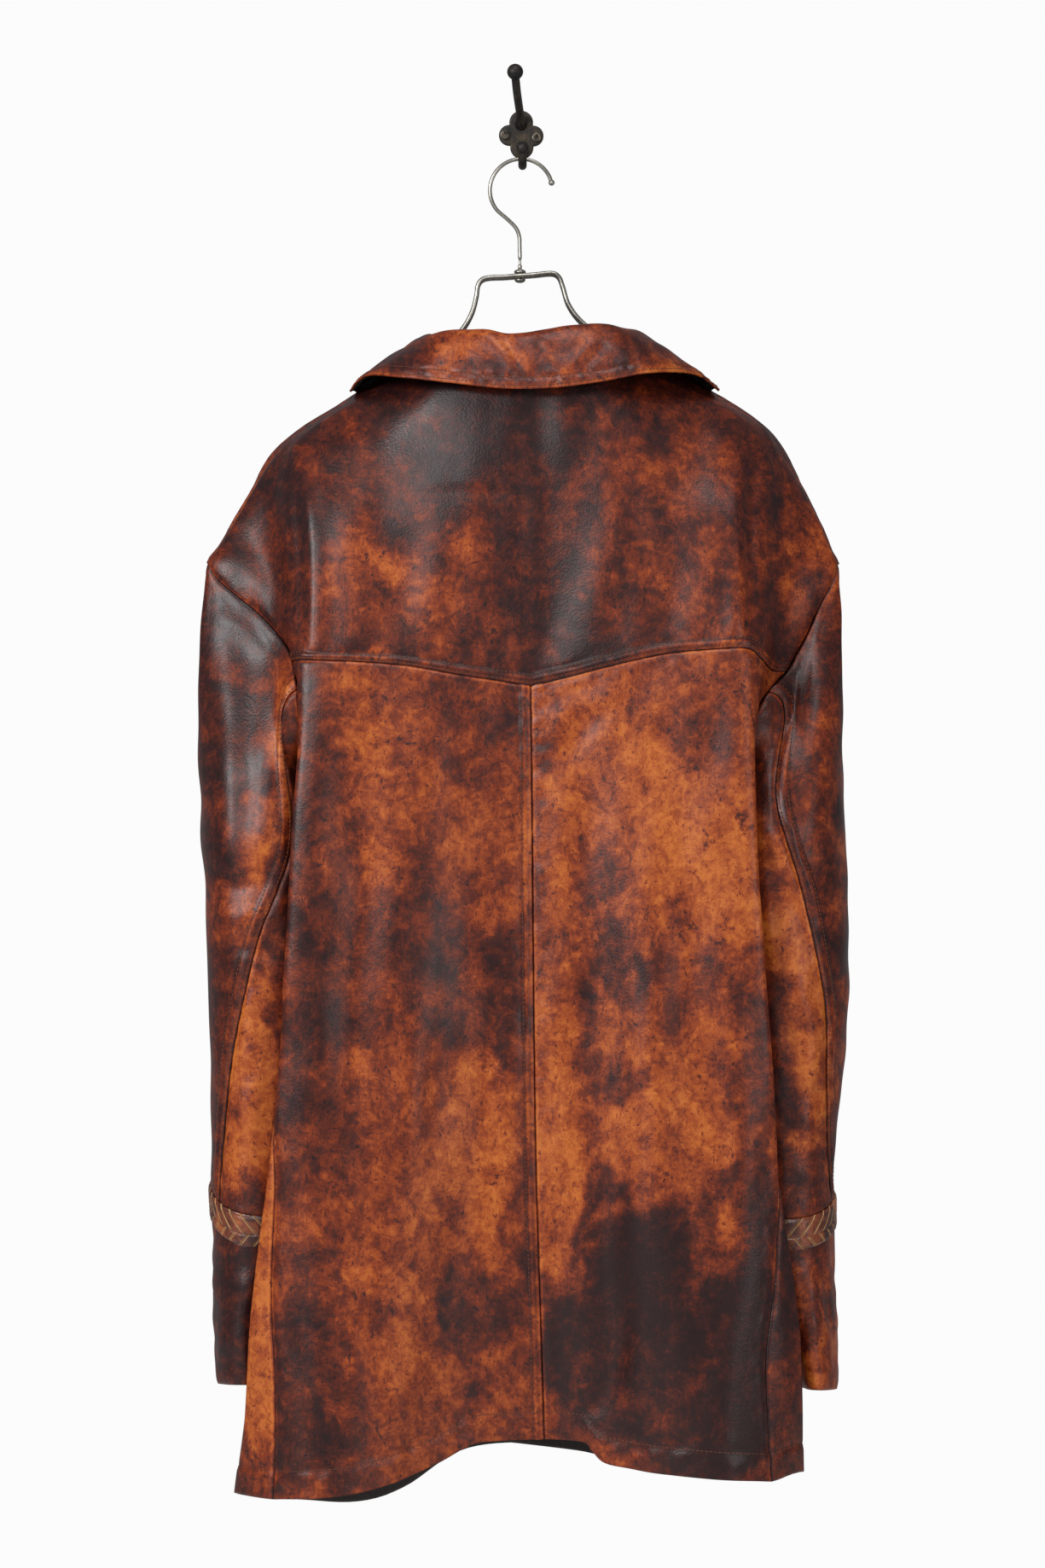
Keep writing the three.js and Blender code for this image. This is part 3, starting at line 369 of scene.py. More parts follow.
def along(keys, at):
    """A cubic Hermite curve through rows whose first number is the parameter; tangents are the
    mean of the two chords at a row."""
    keys = np.asarray(keys, float)
    last = len(keys) - 1
    at = np.clip(np.asarray(at, float), keys[0, 0], keys[-1, 0])
    i = np.clip(np.searchsorted(keys[:, 0], at, side="right") - 1, 0, last - 1)
    a, b = keys[i], keys[i + 1]
    p, q = keys[np.maximum(i - 1, 0)], keys[np.minimum(i + 2, last)]
    h = b[..., :1] - a[..., :1]
    chord = (b[..., 1:] - a[..., 1:]) / h
    before = (a[..., 1:] - p[..., 1:]) / np.maximum(a[..., :1] - p[..., :1], 1e-9)
    after = (q[..., 1:] - b[..., 1:]) / np.maximum(q[..., :1] - b[..., :1], 1e-9)
    m0 = np.where((i > 0)[..., None], (chord + before) / 2, chord)
    m1 = np.where((i < last - 1)[..., None], (chord + after) / 2, chord)
    t = (at[..., None] - a[..., :1]) / h
    return hermite(a[..., 1:], b[..., 1:], m0, m1, t, h)


def through(points, t):
    """The same curve through evenly numbered points, t from 0 to 1."""
    rows = [(i, *p) for i, p in enumerate(points)]
    return along(rows, np.asarray(t, float) * (len(points) - 1))


def step(low, high, v):
    """0 below low, 1 above high, 3t^2 - 2t^3 between."""
    t = np.clip((v - low) / (high - low), 0, 1)
    return t * t * (3 - 2 * t)


def bell(v, width):
    """exp(-(v/width)^2): 1 at 0, fading on both sides."""
    return np.exp(-((v / width) ** 2))


def unit(v):
    return v / np.maximum(np.linalg.norm(v, axis=-1, keepdims=True), 1e-9)


def run_of(line):
    """How far along the line each of its points lies."""
    return np.concatenate([[0], np.cumsum(np.linalg.norm(np.diff(line, axis=0), axis=1))])


def read_at(at, run, values):
    """Each column of values, given at run, read at other places."""
    return np.stack([np.interp(at, run, column) for column in values.T], axis=-1)


MEASURED_AT = -125  # y of the plane, at the coat's back, in which the outline was measured


def deepened(p):
    """x and z grow about the eye's axis in step with the distance from the eye."""
    k = (p[..., 1:2] - EYE[1]) / (MEASURED_AT - EYE[1])
    x, z = EYE[0] + (p[..., :1] - EYE[0]) * k, EYE[2] + (p[..., 2:] - EYE[2]) * k
    return np.concatenate([x, p[..., 1:2], z], axis=-1)


def looked_at(p):
    """The reverse: where the eye sees a point in the measured plane, as x and down."""
    k = (p[..., 1] - EYE[1]) / (MEASURED_AT - EYE[1])
    return EYE[0] + (p[..., 0] - EYE[0]) / k, -(EYE[2] + (p[..., 2] - EYE[2]) / k)


def body(places):
    """The coat's outer face at (place round the ring, down): a Catmull-Rom curve through the
    sixteen columns, each read at its level."""
    s, down = places[..., 0], places[..., 1]
    ring = np.stack([along(keys, down) for keys in RING])
    i = np.floor(s).astype(int)
    here = tuple(np.indices(s.shape))
    p0, p1, p2, p3 = (ring[((i + d + 8) % 16, *here)] for d in (-1, 0, 1, 2))
    xy = hermite(p1, p2, (p2 - p0) / 2, (p3 - p1) / 2, (s - i)[..., None])
    return deepened(np.concatenate([xy, -down[..., None]], axis=-1))


def body_normal(places):
    """The cross product of the way down and the way round."""
    across = body(places + [0.03, 0]) - body(places - [0.03, 0])
    fall = body(places + [0, 0.8]) - body(places - [0, 0.8])
    return unit(np.cross(fall, across))


def spaced(seam, steps, sign):
    """Points on a seam at equal lengths of the coat's own face."""
    fine = through(seam, np.linspace(0, 1, 961)) * [sign, 1]
    run = run_of(body(fine))
    return read_at(np.linspace(0, run[-1], steps + 1), run, fine)


def patch(top, bottom, first, last):
    """A grid between four edges: straight across from first to last, plus the bends of top and
    bottom, which fade as the cube of the way inwards."""
    u = np.linspace(0, 1, len(top))[None, :, None]
    v = np.linspace(0, 1, len(first))[:, None, None]
    return (
        (1 - u) * first[:, None]
        + u * last[:, None]
        + (1 - v) ** 3 * (top[None] - (1 - u) * top[0] - u * top[-1])
        + v**3 * (bottom[None] - (1 - u) * bottom[0] - u * bottom[-1])
    )


def dense(count, ends=5, parts=3):
    """0 to count by ones, the first and last few steps cut in parts, so that seams come out crisp."""
    k = np.arange(ends * parts) / parts
    return np.concatenate([k, np.arange(ends, count - ends + 1), count - k[::-1]])


def cut_finer(grid):
    """The grid read at dense rows and columns, straight between its own points."""
    for axis in (0, 1):
        at = dense(grid.shape[axis] - 1)
        i = np.minimum(at.astype(int), grid.shape[axis] - 2)
        t = (at - i)[:, None, None] if axis == 0 else (at - i)[None, :, None]
        grid = np.take(grid, i, axis) * (1 - t) + np.take(grid, i + 1, axis) * t
    return grid


# Seams, as (place round the ring, down), with the left side's places counted from the back too.
SEAMS = {
    "left": {
        "sign": -1,
        "shoulder": [(5, 175), (5, 214), (5, 252), (5, 290), (5, 343)],
        "armYoke": [(5, 343), (4.76, 355), (4.38, 376), (4.02, 399), (3.62, 419)],
        "armBack": [(3.62, 419), (3.36, 436), (3.5, 462), (4.05, 487), (4.6, 503), (5, 508)],
        "armFront": [
            (5, 508), (5.45, 502), (5.85, 478), (6.05, 440), (6.05, 400), (5.75, 364), (5.35, 347),
            (5, 343),
        ],
        "side": [
            (5, 508), (4.7, 580), (4.2, 660), (3.6, 730), (3.15, 780), (2.9, 820), (2.78, 893), (2.7, 930),
            (2.62, 966), (2.5, 1057),
        ],
        "neckFront": [(5, 175), (5.6, 177), (6.3, 184), (7, 201), (7.5, 225), (8.25, 252)],
        "hemBack": [
            (2.5, 1057), (2.1, 1056.5), (1.78, 1053), (1.5, 1044), (1.25, 1032), (1, 1019), (0.75, 1013),
            (0, 1011),
        ],
        "hemFront": [
            (2.5, 1057), (3.2, 1052), (4, 1053), (5, 1055), (6, 1057), (6.6, 1058.5), (7, 1047),
            (7.5, 1018), (8.25, 1012),
        ],
    },
    "right": {
        "sign": 1,
        "shoulder": [(5, 170), (5, 208), (5, 247), (5, 290), (5, 344)],
        "armYoke": [(5, 344), (4.86, 355), (4.66, 376), (4.62, 400), (4.55, 426)],
        "armBack": [(4.55, 426), (4.25, 440), (4.05, 456), (4.15, 480), (4.6, 503), (5, 512)],
        "armFront": [
            (5, 512), (5.45, 506), (5.85, 480), (6.05, 440), (6.05, 400), (5.75, 364), (5.35, 348),
            (5, 344),
        ],
        "side": [
            (5, 512), (4.7, 600), (4.1, 710), (3.5, 780), (3.1, 830), (2.88, 858), (2.72, 899), (2.6, 931),
            (2.55, 966), (2.56, 1043.5),
        ],
        "neckFront": [(5, 170), (5.6, 172), (6.3, 180), (7, 199), (7.5, 225), (8.25, 252)],
        "hemBack": [
            (2.56, 1043.5), (2, 1042), (1.6, 1038), (1.35, 1034), (1.1, 1029), (0.95, 1019), (0.8, 1013),
            (0, 1011),
        ],
        "hemFront": [
            (2.56, 1043.5), (3, 1036), (4, 1037), (5, 1040), (6, 1039), (7, 1032), (7.5, 1020),
            (8.25, 1012),
        ],
    },
}
NECK_BACK = [
    (-5, 175), (-4.2, 180), (-3.4, 186), (-2.4, 193), (-1.2, 199), (0, 200), (1.2, 198), (2.4, 191),
    (3.4, 183), (4.2, 176), (5, 170),
]
YOKE_LEFT = [(3.62, 419), (3.3, 417.5), (2.8, 417), (1.8, 420.5), (0.9, 429), (0, 436.5)]
YOKE_RIGHT = [
    (0, 436.5), (0.6, 430), (1.2, 422), (1.9, 413), (2.4, 409.5), (3, 408), (3.4, 417), (4.1, 425.5),
    (4.55, 426),
]
FINE = 10  # rows of a mesh to one row of the solid
WIDE = 6  # and columns


def joined(*runs):
    """Runs of points end to end, without the points that two of them share."""
    return np.concatenate([runs[0], *(run[1:] for run in runs[1:])])


# Each edge of a grid: the seam that it follows, and its steps.
EDGES = {
    "shoulder": ("shoulder", 8 * WIDE), "armYoke": ("armYoke", 7 * WIDE), "armBack": ("armBack", 5 * FINE),
    "armFront": ("armFront", 12 * WIDE), "side_back": ("side", 15 * FINE), "side_front": ("side", 15 * WIDE),
    "hemBack": ("hemBack", 12 * WIDE), "hemFront": ("hemFront", 8 * WIDE),
    "neckFront": ("neckFront", 8 * WIDE),
}
edges = {
    side: {edge: spaced(seam[name], steps, seam["sign"]) for edge, (name, steps) in EDGES.items()}
    for side, seam in SEAMS.items()
}


def upright(place, levels, rows):
    """A straight edge at one place, cut at levels."""
    runs = [np.linspace(levels[n], levels[n + 1], count + 1) for n, count in enumerate(rows)]
    down = joined(*runs)
    return np.stack([np.full(len(down), float(place)), down], axis=-1)


PIXEL = 0.65  # millimetres at the depth of the coat's back
CENTRE_COLUMN = 611
ROW_0 = -85.5  # the level of the picture's top edge, down from the mount


def photo(points):
    """Points of the picture at the depth of the coat's back, as x and down."""
    return [((x - CENTRE_COLUMN) * PIXEL, PIXEL * y + ROW_0) for x, y in points]


def waves(a, b, size, seed, count=14):
    """A smooth random field of about unit height: sines of random ways and phases whose lengths lie
    round size."""
    rng = np.random.default_rng(seed)
    way = rng.uniform(0, 2 * np.pi, count)
    rate = 2 * np.pi / (size * rng.uniform(0.7, 1.6, count))
    phase = rng.uniform(0, 2 * np.pi, count)
    total = np.zeros(np.shape(a))
    for w, r, f in zip(way, rate, phase):
        total += np.sin(a * r * np.cos(w) + b * r * np.sin(w) + f)
    return total / np.sqrt(count / 2)


def strokes(P, lines):
    """Soft ridges and troughs: each line is (width, height, points of the picture), and its height
    falls off as exp(-(distance/width)^2) and fades at both ends."""
    x, down = looked_at(P)
    total = np.zeros(x.shape)
    for width, height, points in lines:
        pts = np.array(photo(points))
        runs = np.linalg.norm(np.diff(pts, axis=0), axis=1)
        start = np.concatenate([[0], np.cumsum(runs)]) / runs.sum()
        near = np.full(x.shape, 1e9)
        part = np.zeros(x.shape)
        for k, (a, b) in enumerate(zip(pts[:-1], pts[1:])):
            d = b - a
            t = np.clip(((x - a[0]) * d[0] + (down - a[1]) * d[1]) / (d @ d), 0, 1)
            gap = np.hypot(x - a[0] - t * d[0], down - a[1] - t * d[1])
            part = np.where(gap < near, start[k] + t * (start[k + 1] - start[k]), part)
            near = np.minimum(near, gap)
        total += height * bell(near, width) * np.sin(np.pi * np.clip(part, 0.02, 0.98)) ** 0.6
    return total


DARKEST, PALEST, SOFT = 0.16, 0.74, 0.16  # past the first two the tone levels off softly


def stains_and_shade(P, base, blots, seed):
    """How light each place is: base plus soft ellipses (x, y, half width, half height, weight) in the
    picture, their borders pushed about by random waves, plus mottling. Most ellipses are stains in
    the dye; some are painted shade: narrow dark streaks down fold troughs and a band under the collar."""
    x, down = looked_at(P)
    y = P[..., 1]
    a = x + 9 * waves(x + y, down, 60, seed) + 4 * waves(x - y, down, 22, seed + 1)
    b = down + 13 * waves(x + y, down, 70, seed + 2) + 5 * waves(x, down, 24, seed + 3)
    total = np.full(x.shape, float(base))
    for px, py, rx, ry, weight in blots:
        cx, cd = photo([(px, py)])[0]
        away = ((a - cx) / (PIXEL * rx)) ** 2 + ((b - cd) / (PIXEL * ry)) ** 2
        total += weight * np.exp(-(away**1.4) * 0.7)
    total += 0.055 * waves(x + 0.6 * y, down * 0.8, 34, seed + 4) + 0.035 * waves(x + y, down, 13, seed + 5)
    low = DARKEST * np.exp((np.minimum(total, DARKEST) - DARKEST) / SOFT)
    high = PALEST + SOFT * np.tanh((np.maximum(total, PALEST) - PALEST) / SOFT)
    return np.where(total < DARKEST, low, np.where(total > PALEST, high, total))


def from_edges(P):
    """The way over the surface from each point to the four edges of its grid."""
    across = np.linalg.norm(np.diff(P, axis=1), axis=-1)
    fall = np.linalg.norm(np.diff(P, axis=0), axis=-1)
    first = np.concatenate([np.zeros((len(P), 1)), np.cumsum(across, axis=1)], axis=1)
    top = np.concatenate([np.zeros((1, P.shape[1])), np.cumsum(fall, axis=0)], axis=0)
    return {"first": first, "last": first[:, -1:] - first, "top": top, "bottom": top[-1:] - top}


HEM = 21  # from the lower edge to the hem's row of thread


def seam_relief(P, gaps, sewn, seed):
    """Beside a seam the hide rolls down into it; over the turned-in edge it stands up a little, and
    it puckers where the thread pulls. sewn maps an edge to how wide its turned edge is."""
    x, y, down = P[..., 0], P[..., 1], -P[..., 2]
    total = np.zeros(x.shape)
    pull = waves(x + y, down, 15, seed) * 0.5 + waves(x - y, down, 9, seed + 1) * 0.3
    for edge, width in sewn.items():
        d = gaps[edge]
        total -= 0.9 * bell(d, 2.6)
        if width:
            total += 1.0 * (1 - step(width - 0.5, width + 2.5, d))
            total -= 0.7 * bell(d - width, 1.9)
        total += 0.28 * pull * bell(d - 5, 9)
    return total


def hem_relief(gaps):
    """The turned hem stands up to its row of thread, which sinks in."""
    return 0.7 * (1 - step(19, 23, gaps["bottom"])) - 0.5 * bell(gaps["bottom"] - HEM, 2.4)


def faded(lift, gaps, **widths):
    """The folds die out over a width from each edge named."""
    for edge, width in widths.items():
        lift = lift * step(0, width, gaps[edge])
    return lift


def raised(P, N, lift):
    """The surface moved out by lift along its normals."""
    return P + N * lift[..., None]


def seam_rub_and_shade(gaps, sewn):
    """Lighter on the lip of a seam and on the turned edge: dye rubbed off, partly with a painted
    highlight on the raised lip. Darker in the seam's groove and where the thread sinks: painted shade.
    """
    total = np.zeros(gaps["top"].shape)
    for edge, width in sewn.items():
        d = gaps[edge]
        # painted highlight on the lip (partly rubbed dye), painted shade in the seam's groove
        total += 0.22 * bell(d - 1.5, 1.1) - 0.30 * bell(d, 0.7)
        if width:
            # the same on the turned edge, and painted shade where its row of thread sinks
            total += 0.16 * bell(d - width + 2.4, 1.3) - 0.16 * bell(d - width, 1.4)
    return total


def facing(N, way):
    """1 where the surface looks along way (+1 to the wall, -1 to the room)."""
    return step(0.05, 0.45, way * N[..., 1])


def placed(name, data, nodes=()):
    """The mesh as a piece of the root body, in the place of the solids that it dresses."""
    piece = bpy.data.objects.new(name, data)
    bpy.context.collection.objects.link(piece)
    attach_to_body(piece, "root")
    if nodes:
        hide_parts(*nodes)
    return piece


def mesh_of(name, points, faces, paint, smooth=True):
    """A mesh in metres from points in millimetres."""
    data = bpy.data.meshes.new(name)
    data.from_pydata(points * 0.001, [], faces)
    data.polygons.foreach_set("use_smooth", np.full(len(data.polygons), smooth))
    data.materials.append(paint)
    return data


def attach(data, name, values):
    """A number for each point, which the materials read."""
    data.attributes.new(name, "FLOAT", "POINT").data.foreach_set("value", values.astype(np.float32))


def between_rings(index):
    """The quads from each closed ring of points to the next."""
    nxt = np.roll(index, -1, axis=1)
    return np.stack([index[:-1], nxt[:-1], nxt[1:], index[1:]], axis=-1).reshape(-1, 4)


def hide_piece(name, node, P, N, lift, tone, wall=1.5, wrap=False):
    """A closed wall of hide: the outer grid is P raised by lift, the inner one wall under it, and
    a rim joins them. The inner faces are lining. wrap closes the grid round a tube."""
    outer = raised(P, N, lift)
    inner = outer - N * wall
    turn = np.cross(np.gradient(P, axis=0), np.gradient(P, axis=1))
    flip = np.sum(turn * N) < 0
    deep = lift.size  # from a point's number to the one under it
    index = np.arange(deep).reshape(lift.shape)
    if wrap:
        index = np.concatenate([index, index[:, :1]], axis=1)

    def quads(a, b, c, d):
        return np.stack([a, d, c, b] if flip else [a, b, c, d], axis=-1).reshape(-1, 4)

    def rim(line):
        return quads(line[:-1], line[:-1] + deep, line[1:] + deep, line[1:])

    shown = quads(index[:-1, :-1], index[1:, :-1], index[1:, 1:], index[:-1, 1:])
    hidden = shown[:, ::-1] + deep
    top = index[0]
    rims = [quads(top[:-1], top[1:], top[1:] + deep, top[:-1] + deep), rim(index[-1])]
    if not wrap:
        rims += [rim(index[:, 0]), rim(index[::-1, -1])]
    faces = np.concatenate([shown, *rims, hidden])
    data = mesh_of(name, np.concatenate([outer.reshape(-1, 3), inner.reshape(-1, 3)]), faces, leather)
    data.materials.append(lining)
    attach(data, "tone", np.tile(tone.reshape(-1), 2))
    is_lining = np.arange(len(faces)) >= len(faces) - len(hidden)
    data.polygons.foreach_set("material_index", is_lining.astype(np.int32))
    return placed(name, data, [node])


def level_line(P, N, gaps, edge, width):
    """The line over the grid that runs width inside an edge, and the normals there."""
    axis = 0 if edge in ("top", "bottom") else 1
    gap = gaps[edge]
    if edge in ("bottom", "last"):
        P, N, gap = np.flip(P, axis), np.flip(N, axis), np.flip(gap, axis)
    k = np.expand_dims(np.clip(np.argmax(gap >= width, axis=axis), 1, None), axis)
    g1 = np.take_along_axis(gap, k, axis)
    g0 = np.take_along_axis(gap, k - 1, axis)
    t = np.clip((width - g0) / np.where(g1 == g0, 1, g1 - g0), 0, 1)[..., None]
    at = k[..., None]
    line = np.take_along_axis(P, at - 1, axis) * (1 - t) + np.take_along_axis(P, at, axis) * t
    normal = np.take_along_axis(N, at - 1, axis) * (1 - t) + np.take_along_axis(N, at, axis) * t
    return np.squeeze(line, axis), unit(np.squeeze(normal, axis))


def stitched(name, lines, pitch=3.4, length=2.7, radius=0.42):
    """Thread stitches: small spindles of three rings of five sides, one every pitch, along lines of
    (points, normals), each laid on the surface."""
    ring = np.arange(5) * 2 * np.pi / 5
    form = [(-0.5 * length, 0, 0)]
    for place, thick in [(-0.38, 0.75), (0, 1), (0.38, 0.75)]:
        form += [(place * length, radius * thick * np.cos(a), radius * thick * np.sin(a)) for a in ring]
    form.append((0.5 * length, 0, 0))
    form = np.array(form)
    around = np.arange(5)
    nxt = (around + 1) % 5
    tris = [np.stack([1 + around, 1 + nxt, np.zeros(5, int)], axis=1)]
    for first in (1, 6):
        a, b = first + around, first + nxt
        tris += [np.stack([b + 5, b, a], axis=1), np.stack([a + 5, b + 5, a], axis=1)]
    tris.append(np.stack([11 + nxt, 11 + around, np.full(5, 16)], axis=1))
    tris = np.concatenate(tris)
    points, faces = [], []
    count = 0
    for line, normal in lines:
        run = run_of(line)
        at = np.arange(pitch, run[-1] - pitch, pitch)
        middle = read_at(at, run, line)
        tangent = unit(read_at(at + 0.8, run, line) - middle)
        beside = unit(np.cross(tangent, unit(read_at(at, run, normal))))
        up = np.cross(beside, tangent)
        made = (
            (middle + up * 0.12)[:, None]
            + tangent[:, None] * form[None, :, :1]
            + beside[:, None] * form[None, :, 1:2]
            + up[:, None] * form[None, :, 2:]
        )
        points.append(made.reshape(-1, 3))
        starts = count + np.arange(len(at)) * len(form)
        faces.append((tris[None] + starts[:, None, None]).reshape(-1, 3))
        count += len(points[-1])
    return placed(name, mesh_of(name, np.concatenate(points), np.concatenate(faces), thread))


# The yoke: one piece from armhole to armhole over both shoulders, its lower edge a shallow V,
# turned in and sewn over the back panels with two rows of thread.
yoke_seam_left = spaced(YOKE_LEFT, 12 * WIDE, -1)
yoke_seam_right = spaced(YOKE_RIGHT, 12 * WIDE, 1)
yoke_grid = patch(
    spaced(NECK_BACK, 24 * WIDE, 1),
    joined(yoke_seam_left, yoke_seam_right),
    joined(edges["left"]["shoulder"], edges["left"]["armYoke"]),
    joined(edges["right"]["shoulder"], edges["right"]["armYoke"]),
)
yoke_grid = cut_finer(yoke_grid)
YOKE_FOLDS = [
    (26, 2.4, [(405, 500), (402, 600), (410, 740)]),
    (20, -1.8, [(455, 480), (462, 600), (458, 745)]),
    (28, 2.2, [(585, 470), (592, 600), (600, 760)]),
    (20, -1.6, [(655, 480), (650, 620), (648, 750)]),
    (24, 2.0, [(735, 470), (722, 600), (705, 745)]),
    (18, -1.4, [(800, 480), (795, 600), (790, 740)]),
    (16, 1.4, [(845, 500), (838, 620), (842, 740)]),
    (3.5, -0.9, [(488, 580), (540, 577), (604, 579)]),
    (12, -1.5, [(300, 560), (330, 640), (350, 740)]),
    (12, 1.6, [(262, 640), (300, 690), (338, 760)]),
    (9, -1.2, [(286, 620), (318, 672), (346, 722)]),
    (12, 1.4, [(945, 560), (925, 640), (905, 720)]),
    (9, -1.1, [(960, 610), (938, 672), (912, 740)]),
    (8, 2.6, [(348, 520), (364, 575), (368, 641), (369, 800)]),
    (6, -3.0, [(334, 515), (346, 575), (350, 641), (352, 800)]),
    (8, 2.4, [(878, 500), (866, 570), (864, 641), (866, 810)]),
    (6, -3.0, [(893, 505), (882, 570), (880, 641), (884, 810)]),
]
# Ellipses of the dye's stains; the first, a dark band just under the collar, is painted shade.
YOKE_STAINS_AND_SHADE = [
    (600, 485, 170, 42, -0.25), (555, 560, 55, 130, -0.1), (300, 560, 80, 70, -0.12),
    (345, 640, 40, 90, -0.05), (405, 690, 55, 48, 0.22), (450, 655, 55, 36, 0.14),
    (500, 680, 40, 50, 0.26), (560, 715, 45, 30, 0.14), (765, 545, 60, 34, 0.22), (700, 505, 40, 26, 0.12),
    (830, 620, 60, 90, 0.08), (760, 690, 60, 50, 0.1), (690, 745, 80, 28, -0.16),
    (625, 680, 45, 110, -0.13), (955, 640, 30, 50, 0.3), (900, 570, 30, 60, -0.06),
    (380, 745, 45, 20, -0.06), (470, 730, 60, 30, 0.05), (850, 720, 40, 40, 0.1),
]
P = body(yoke_grid)
N = body_normal(yoke_grid)
gaps = from_edges(P)
sewn = {"bottom": 8, "first": 0, "last": 0}
lift = (strokes(P, YOKE_FOLDS) + 0.35 * waves(P[..., 0], P[..., 2] * 0.5, 42, 5)) * facing(N, -1)
lift = faded(lift, gaps, bottom=22, top=14) * step(0, 10, np.minimum(gaps["first"], gaps["last"]))
lift += seam_relief(P, gaps, sewn, 11)
yoke = hide_piece("yoke_hide", "back_yoke", P, N, lift, stains_and_shade(P, 0.36, YOKE_STAINS_AND_SHADE, 20) + seam_rub_and_shade(gaps, sewn))
surface = raised(P, N, lift)
yoke_thread = stitched("yoke_thread", [level_line(surface, N, gaps, "bottom", width) for width in (8, 2.2)])


# The back panels: two tall pieces joined down the centre back and sewn to the fronts at the sides,
# with a deep turned hem. They hang in long soft folds.
centre = upright(0, [436.5, 510, 1011], [5 * FINE, 15 * FINE])
BACK_FOLDS = [
    (18, 3.0, [(372, 830), (368, 1100), (358, 1400), (348, 1700)]),
    (22, -2.8, [(424, 820), (420, 1100), (412, 1400), (402, 1690)]),
    (26, 3.2, [(484, 830), (482, 1100), (478, 1400), (470, 1680)]),
    (24, -3.2, [(548, 900), (552, 1150), (552, 1400), (556, 1660)]),
    (15, 2.2, [(596, 860), (600, 1150), (604, 1450), (612, 1650)]),
    (15, 2.0, [(652, 850), (658, 1150), (664, 1450), (670, 1640)]),
    (20, -3.6, [(690, 850), (699, 1100), (704, 1400), (716, 1690)]),
    (24, 4.0, [(746, 850), (756, 1100), (770, 1400), (786, 1700)]),
    (20, -2.8, [(806, 1000), (814, 1250), (824, 1450), (836, 1700)]),
    (17, 3.0, [(858, 1150), (870, 1350), (880, 1530), (888, 1700)]),
    (10, 1.3, [(640, 870), (668, 830), (700, 815)]),
    (8, -1.0, [(655, 900), (690, 850), (730, 822)]),
    (9, 1.0, [(840, 1010), (862, 1050), (878, 1110)]),
    (9, -1.0, [(352, 1180), (372, 1260), (368, 1350)]),
    (7, 1.0, [(345, 1540), (372, 1600), (380, 1660)]),
    (6, -0.9, [(352, 1500), (385, 1570), (396, 1640)]),
    (6, 0.9, [(400, 1500), (414, 1580), (420, 1650)]),
    (10, 1.4, [(672, 1655), (705, 1690), (740, 1705)]),
    (10, -1.4, [(660, 1680), (700, 1640), (735, 1560)]),
    (9, 1.2, [(500, 1690), (470, 1650), (452, 1590)]),
    (9, -1.0, [(540, 1670), (515, 1630), (500, 1570)]),
]
# Ellipses of the dye's stains; (540, 1460), a narrow dark streak down a fold trough, is painted shade.
LEFT_STAINS_AND_SHADE = [
    (366, 900, 24, 230, -0.2), (420, 835, 50, 45, 0.06), (560, 850, 60, 60, -0.15),
    (475, 905, 80, 80, 0.12), (480, 1045, 50, 45, -0.16), (560, 985, 45, 70, 0.14),
    (510, 1110, 65, 45, -0.22), (590, 1190, 34, 60, -0.3), (405, 1120, 45, 130, -0.1),
    (352, 1250, 34, 190, -0.2), (563, 1330, 50, 90, 0.3), (540, 1420, 45, 55, 0.24),
    (440, 1500, 60, 120, 0.08), (560, 1540, 34, 90, -0.2), (612, 1440, 16, 150, -0.22),
    (350, 1640, 46, 120, -0.32), (540, 1460, 12, 150, -0.2), (515, 1210, 26, 90, -0.16),
    (388, 1300, 12, 100, -0.1), (430, 1560, 12, 90, -0.1), (470, 1640, 60, 60, 0.06),
    (590, 1650, 40, 40, 0.08), (440, 1330, 40, 60, -0.05), (420, 980, 40, 60, 0.1),
    (500, 1560, 30, 60, 0.1), (400, 1700, 60, 30, -0.14), (455, 1250, 30, 60, 0.06),
    (530, 1210, 30, 40, -0.08),
]
# Ellipses of the dye's stains; (712, 1120), (703, 1330) and (700, 1430), narrow dark streaks down a fold
# trough, are painted shade.
RIGHT_STAINS_AND_SHADE = [
    (700, 840, 80, 45, 0.14), (840, 870, 45, 55, -0.14), (655, 960, 30, 90, 0.16),
    (800, 990, 100, 90, 0.34), (700, 1080, 26, 120, -0.14), (790, 1130, 60, 60, -0.12),
    (855, 1060, 35, 80, 0.28), (770, 1320, 110, 90, 0.26), (655, 1400, 34, 90, 0.28),
    (845, 1220, 40, 80, 0.00), (885, 1330, 24, 230, -0.25), (720, 1490, 60, 50, -0.3),
    (785, 1540, 60, 130, -0.44), (870, 1580, 50, 150, -0.38), (690, 1590, 60, 90, -0.42),
    (840, 1700, 110, 40, -0.36), (890, 1640, 40, 110, -0.24), (712, 1120, 13, 190, -0.16),
    (703, 1330, 15, 130, -0.26), (700, 1430, 24, 60, -0.14), (830, 1500, 16, 80, 0.18),
    (790, 1610, 40, 30, 0.16), (645, 1560, 22, 100, -0.3), (850, 1470, 30, 40, 0.2),
    (650, 1240, 26, 90, 0.16), (750, 1210, 40, 60, 0.06), (655, 1660, 26, 26, 0.2),
    (740, 900, 60, 40, 0.1), (640, 860, 20, 40, -0.1), (720, 1690, 50, 24, -0.1),
]
